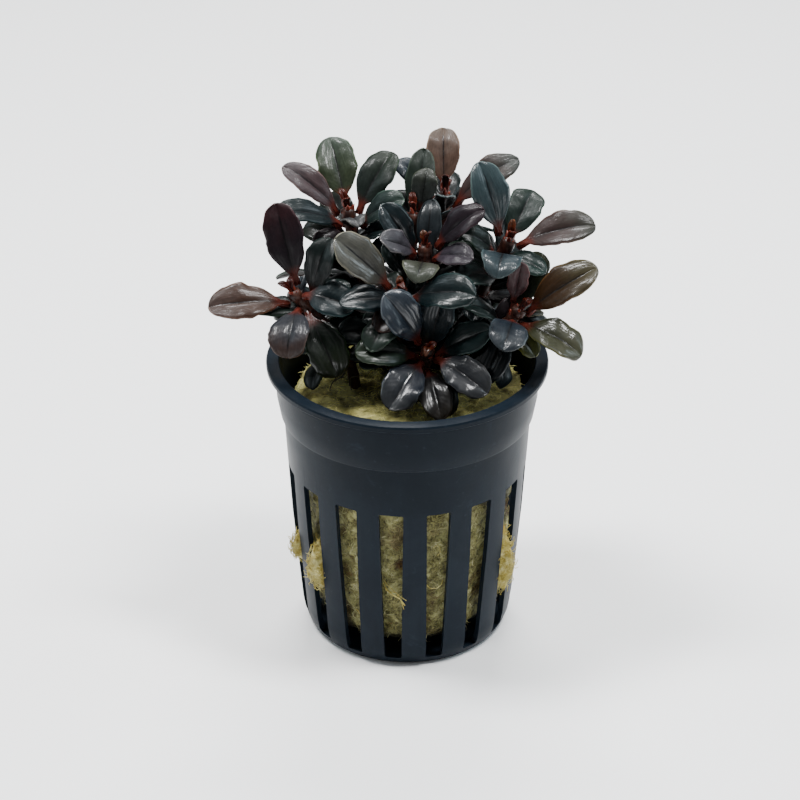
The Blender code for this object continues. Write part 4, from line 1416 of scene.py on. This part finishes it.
def make_fine_pot():
    """The moulded pot, turned from its outline, with the slots cut and their edges softened."""
    mesh = bpy.data.meshes.new("net_pot")
    points = [(radius, 0.0, height) for radius, height in POT_OUTLINE]
    mesh.from_pydata(points, [(number, number + 1) for number in range(len(points) - 1)], [])
    pot = add_object("net_pot", mesh)
    pot.data.materials.append(PLASTIC)
    steps = {"steps": POT_STEPS, "render_steps": POT_STEPS}
    apply_modifier(pot, "SCREW", axis="Z", use_merge_vertices=True, merge_threshold=POT_DOUBLES, **steps)
    merge(pot)
    cutter = join([slot_block(number) for number in range(SLOT_COUNT)])
    pick(cutter)
    bpy.ops.object.mode_set(mode="EDIT")
    bpy.ops.mesh.select_all(action="SELECT")
    bpy.ops.mesh.bevel(offset=SLOT_ROUNDING, segments=2)
    bpy.ops.object.mode_set(mode="OBJECT")
    apply_modifier(pot, "BOOLEAN", operation="DIFFERENCE", solver="EXACT", object=cutter)
    bpy.data.objects.remove(cutter, do_unlink=True)
    pick(pot)
    bpy.ops.object.shade_smooth_by_angle(angle=math.radians(SHARPEST_SMOOTH))
    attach(pot, "root")
    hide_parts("pot")


# Rock wool. Height, radius and sag of each corner of its outline, in mm
WOOL_LEVELS = (
    (1.4, 0.0, 0.0),
    (1.4, 13.0, 0.0),
    (3.5, 15.6, 0.0),
    (7.5, 18.2, 0.0),
    (18.0, 19.2, 0.0),
    (32.0, 20.1, 0.0),
    (45.0, 21.3, 0.0),
    (51.0, 22.1, 3.6),
    (52.6, 21.3, 2.6),
    (53.0, 19.2, 0.0),
    (53.0, 0.0, 0.0),
)
WOOL_GRID = (150, 160)
WOOL_LOW_TURN = 25.0
WOOL_BOTTOM = 1.3
RIM_START = 8.0
TOP_START = 50.0
PRESS_LEVELS = (6.0, 35.0)
PRESS = 0.55
# Longer loose strands at the front: slot, then across, height and reach of each point, and thickness, in mm
LONG_STRANDS = (
    (15, ((-1.8, 19.6, 20.6), (-1.2, 18.6, 21.4), (0.2, 17.8, 21.9), (1.6, 17.4, 22.4), (2.6, 16.2, 22.8)), 0.14),
    (15, ((-1.6, 18.8, 20.6), (-0.6, 18.0, 21.2), (0.8, 18.2, 21.6), (1.9, 16.8, 22.4), (2.4, 15.4, 22.9)), 0.10),
    (15, ((-1.9, 20.4, 20.5), (-1.0, 19.6, 21.2), (0.4, 18.6, 21.8), (1.5, 18.0, 22.3), (2.9, 17.4, 22.9)), 0.07),
    (0, ((-1.9, 19.8, 20.9), (-1.2, 18.9, 21.5), (0.0, 18.8, 21.7), (1.0, 19.3, 21.5), (1.5, 20.1, 21.0)), 0.08),
    (0, ((-0.4, 27.5, 20.7), (0.2, 28.3, 21.2), (0.8, 27.6, 21.3), (0.9, 26.4, 21.0), (0.5, 25.6, 20.7)), 0.07),
    (14, ((0.2, 11.6, 20.0), (0.9, 11.9, 20.6), (1.5, 11.2, 20.7), (1.8, 10.2, 20.4)), 0.08),
)
# Torn tufts: slot, lowest and highest point, and reach, in mm
WOOL_TUFTS = (
    (2, 10.5, 26.5, 23.6),
    (13, 13.5, 24.5, 23.8),
    (12, 15.0, 22.2, 23.4),
)
TUFT_GRID = (26, 36)
TUFT_START = 17.0
TUFT_HALF_WIDTH = 1.45
TUFT_FIBRES = 220
SIDE_FIBRES = 4200
TOP_FIBRES = 2000
SIDE_TOP = 46.0 * MM
MIDDLE_REACH = 6.0 * MM
FIBRE_RADIUS = 0.055 * MM
FIBRE_STEPS = 5


def wool_profile(share):
    """Height, radius and sag of the wool at a share of its outline, in mm."""
    runs = []
    for (low, near, _), (high, far, _) in zip(WOOL_LEVELS[:-1], WOOL_LEVELS[1:]):
        runs.append(math.hypot(high - low, far - near))
    left = share * sum(runs)
    for number, run in enumerate(runs):
        if left <= run or number == len(runs) - 1:
            t = min(1.0, left / run)
            start, end = WOOL_LEVELS[number], WOOL_LEVELS[number + 1]
            return tuple(a + (b - a) * t for a, b in zip(start, end))
        left -= run


def near_slot(angle):
    """From 1 at the middle of a slot to -1 at the middle of a rib."""
    return math.cos((angle - slot_angle(0)) * SLOT_COUNT)


def slot_ways(number):
    """The ways out from a slot and across it."""
    out = level_way(slot_angle(number))
    return out, Vector((-out.y, out.x, 0.0))


def wool_spot(share, turn):
    """A point of the wool's skin, with lumps, and pressing out a little at the slots."""
    height, radius, sag = wool_profile(share)
    angle = turn * math.tau
    height -= sag * max(0.0, -math.cos(angle - math.radians(WOOL_LOW_TURN)))
    place = Vector((radius * math.cos(angle), radius * math.sin(angle), height))
    rim = limit((radius - RIM_START) / RIM_START)
    lump = noise.fractal(place * 0.32, 0.9, 2.0, 4) * 0.75 + noise.fractal(place * 1.3, 0.8, 2.0, 3) * 0.3
    if height < TOP_START:
        radius += lump * rim
        for number, level, reach in WOOL_STAINS:
            turned = (angle - slot_angle(number) + math.pi) % math.tau - math.pi
            away = math.hypot(turned * radius, height - level) / reach
            radius -= STAIN_DENT * max(0.0, 1.0 - away * away)
        if PRESS_LEVELS[0] < height < PRESS_LEVELS[1]:
            radius += PRESS * max(0.0, near_slot(angle))
    else:
        height += lump * 0.9 - 0.3
        radius += lump * 0.6 * rim
    return Vector((radius * math.cos(angle), radius * math.sin(angle), max(height, WOOL_BOTTOM))) * MM


def fibre(place, away, length, lift):
    """A thin curly fibre that lies along the skin at a place."""
    first = away.orthogonal().normalized()
    second = away.cross(first)
    heading = chance.uniform(0.0, math.tau)
    bow = chance.gauss(0.0, 0.45)
    spot = place.copy()
    line = []
    for step in range(FIBRE_STEPS + 1):
        swell = math.sin(math.pi * (step / FIBRE_STEPS))
        raised = away * lift * (0.3 + swell * chance.uniform(0.6, 1.2))
        line.append((spot + raised, FIBRE_RADIUS * (0.45 + 0.8 * swell)))
        heading += bow + chance.gauss(0.0, 0.35)
        spot = spot + (first * math.cos(heading) + second * math.sin(heading)) * (length / FIBRE_STEPS)
    return line


def make_tuft(number, low, high, reach):
    """A torn lump of wool at a slot, and its fibres."""
    out, side = slot_ways(number)
    middle = (low + high) / 2.0
    tall = (high - low) / 2.0

    def lump(u, v):
        turn = v * math.tau
        shape = math.sin(math.pi * min(1.0, 0.25 + u * 0.75)) ** 0.5 if u < 1.0 else 0.0
        rag = 1.0 + 0.5 * noise.fractal(Vector((u * 3.0, math.cos(turn), math.sin(turn) + middle)), 0.8, 2.0, 4)
        across = math.cos(turn) * TUFT_HALF_WIDTH * shape * rag
        spot = out * (TUFT_START + (reach - TUFT_START) * u) + side * across
        return (spot + UP * (middle + math.sin(turn) * tall * shape * rag)) * MM

    tuft = merge(shaped_grid("tuft", *TUFT_GRID, lump, TUFT))
    lines = []
    for _ in range(TUFT_FIBRES):
        place = lump(chance.uniform(0.5, 1.0), chance.random())
        away = (out + side * chance.uniform(-0.8, 0.8)).normalized()
        lines.append(fibre(place, away, 1.9 * MM, 0.3 * MM))
    return tuft, lines


def make_fine_wool():
    """The wool block, its surface fibres, and the torn tufts at three slots."""
    wool = smooth(merge(shaped_grid("wool_block", *WOOL_GRID, wool_spot, WOOL)))
    lumps, tuft_lines, side_lines, top_lines = [], [], [], []
    for row in WOOL_TUFTS:
        tuft, lines = make_tuft(*row)
        lumps.append(tuft)
        tuft_lines += lines
    tufts = smooth(join(lumps))
    tufts.name = "wool_tufts"
    while len(side_lines) < SIDE_FIBRES:
        share = chance.uniform(0.2, 0.74)
        place = wool_spot(share, chance.random())
        if place.z > SIDE_TOP or near_slot(math.atan2(place.y, place.x)) < -0.35:
            continue
        away = Vector((place.x, place.y, 0.0)).normalized()
        side_lines.append(fibre(place, away, chance.uniform(1.2, 3.2) * MM, chance.uniform(0.03, 0.3) * MM))
    while len(top_lines) < TOP_FIBRES:
        share = chance.uniform(0.72, 1.0)
        place = wool_spot(share, chance.random())
        if math.hypot(place.x, place.y) < MIDDLE_REACH and chance.random() < 0.5:
            continue
        top_lines.append(fibre(place, UP, chance.uniform(0.8, 2.2) * MM, chance.uniform(0.02, 0.12) * MM))
    for number, points, radius in LONG_STRANDS:
        out, side = slot_ways(number)
        line = []
        for across, level, reach in points:
            line.append(((out * reach + side * across + UP * level) * MM, radius * MM))
        tuft_lines.append(line)
    side_fibres = strands("wool_fibres_side", side_lines, FIBRE)
    top_fibres = strands("wool_fibres_top", top_lines, FIBRE)
    tuft_fibres = strands("wool_fibres_tuft", tuft_lines, TUFT)
    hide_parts("rock_wool")
    for piece in (wool, tufts, side_fibres, top_fibres, tuft_fibres):
        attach(piece, "root")


# Studio. The camera looks at the lip from this far, then a little left of it and below it
CAMERA_ELEVATION = 28.94
CAMERA_DISTANCE = 0.5
LENS = 117.75
SENSOR_WIDTH = 36.0
NEAREST, FARTHEST = 0.01, 50.0
AIM_LEFT = 1.38 * MM
AIM_DOWN = 8.33 * MM
FLOOR_SIZE = 8.0
SURROUND_COLOUR = (0.96, 0.98, 1.0, 1.0)
SURROUND_STRENGTH = 0.26
LIGHTS_AIM = Vector((0.0, 0.0, 0.05))
WHITE_LIGHT = (1.0, 1.0, 1.0)
COOL_LIGHT = (0.78, 0.92, 1.0)
# Soft lights: name, place, width and height in metres, power and colour
LIGHTS = (
    ("overhead_left", (-0.22, 0.02, 0.62), 0.13, 0.22, 5.5, WHITE_LIGHT),
    ("overhead_right", (0.2, -0.06, 0.6), 0.1, 0.2, 4.5, WHITE_LIGHT),
    ("overhead_back", (0.02, 0.4, 0.6), 0.3, 0.12, 4.5, WHITE_LIGHT),
    ("left_side", (-0.6, 0.1, 0.35), 0.3, 0.5, 1.1, COOL_LIGHT),
    ("right_side", (0.6, 0.1, 0.35), 0.3, 0.5, 2.2, COOL_LIGHT),
)


def look_at(item, place, target, axis):
    """Put an object in its place, with this axis towards the target."""
    item.location = place
    item.rotation_mode = "QUATERNION"
    item.rotation_quaternion = (target - Vector(place)).to_track_quat(axis, "Y")


def make_lights():
    """Pale surround, and the soft lights from above and both sides."""
    world = bpy.data.worlds.new("pale_surround")
    bpy.context.scene.world = world
    world.use_nodes = True
    world.node_tree.nodes["Background"].inputs["Color"].default_value = SURROUND_COLOUR
    world.node_tree.nodes["Background"].inputs["Strength"].default_value = SURROUND_STRENGTH
    for name, place, width, height, power, colour in LIGHTS:
        data = bpy.data.lights.new(name, "AREA")
        data.shape = "RECTANGLE"
        data.size = width
        data.size_y = height
        data.energy = power
        data.color = colour
        look_at(add_object(name, data), place, LIGHTS_AIM, "-Z")


def make_camera():
    tilt = math.radians(CAMERA_ELEVATION)
    forward = Vector((0.0, math.cos(tilt), -math.sin(tilt)))
    up = Vector((0.0, math.sin(tilt), math.cos(tilt)))
    rim = UP * POT_HEIGHT
    data = bpy.data.cameras.new("camera")
    data.lens = LENS
    data.sensor_width = SENSOR_WIDTH
    data.clip_start = NEAREST
    data.clip_end = FARTHEST
    camera = add_object("camera", data)
    aim = rim - Vector((AIM_LEFT, 0.0, 0.0)) - up * AIM_DOWN
    look_at(camera, rim - forward * CAMERA_DISTANCE, aim, "-Z")
    bpy.context.scene.camera = camera


def make_studio():
    """Pale floor, lights and camera."""
    bpy.ops.object.select_all(action="DESELECT")
    bpy.ops.mesh.primitive_plane_add(size=FLOOR_SIZE)
    floor = bpy.context.object
    floor.name = "pale_floor"
    floor.data.materials.append(floor_paint())
    make_lights()
    make_camera()


make_fine_pot()
make_fine_wool()
make_plant()
make_studio()
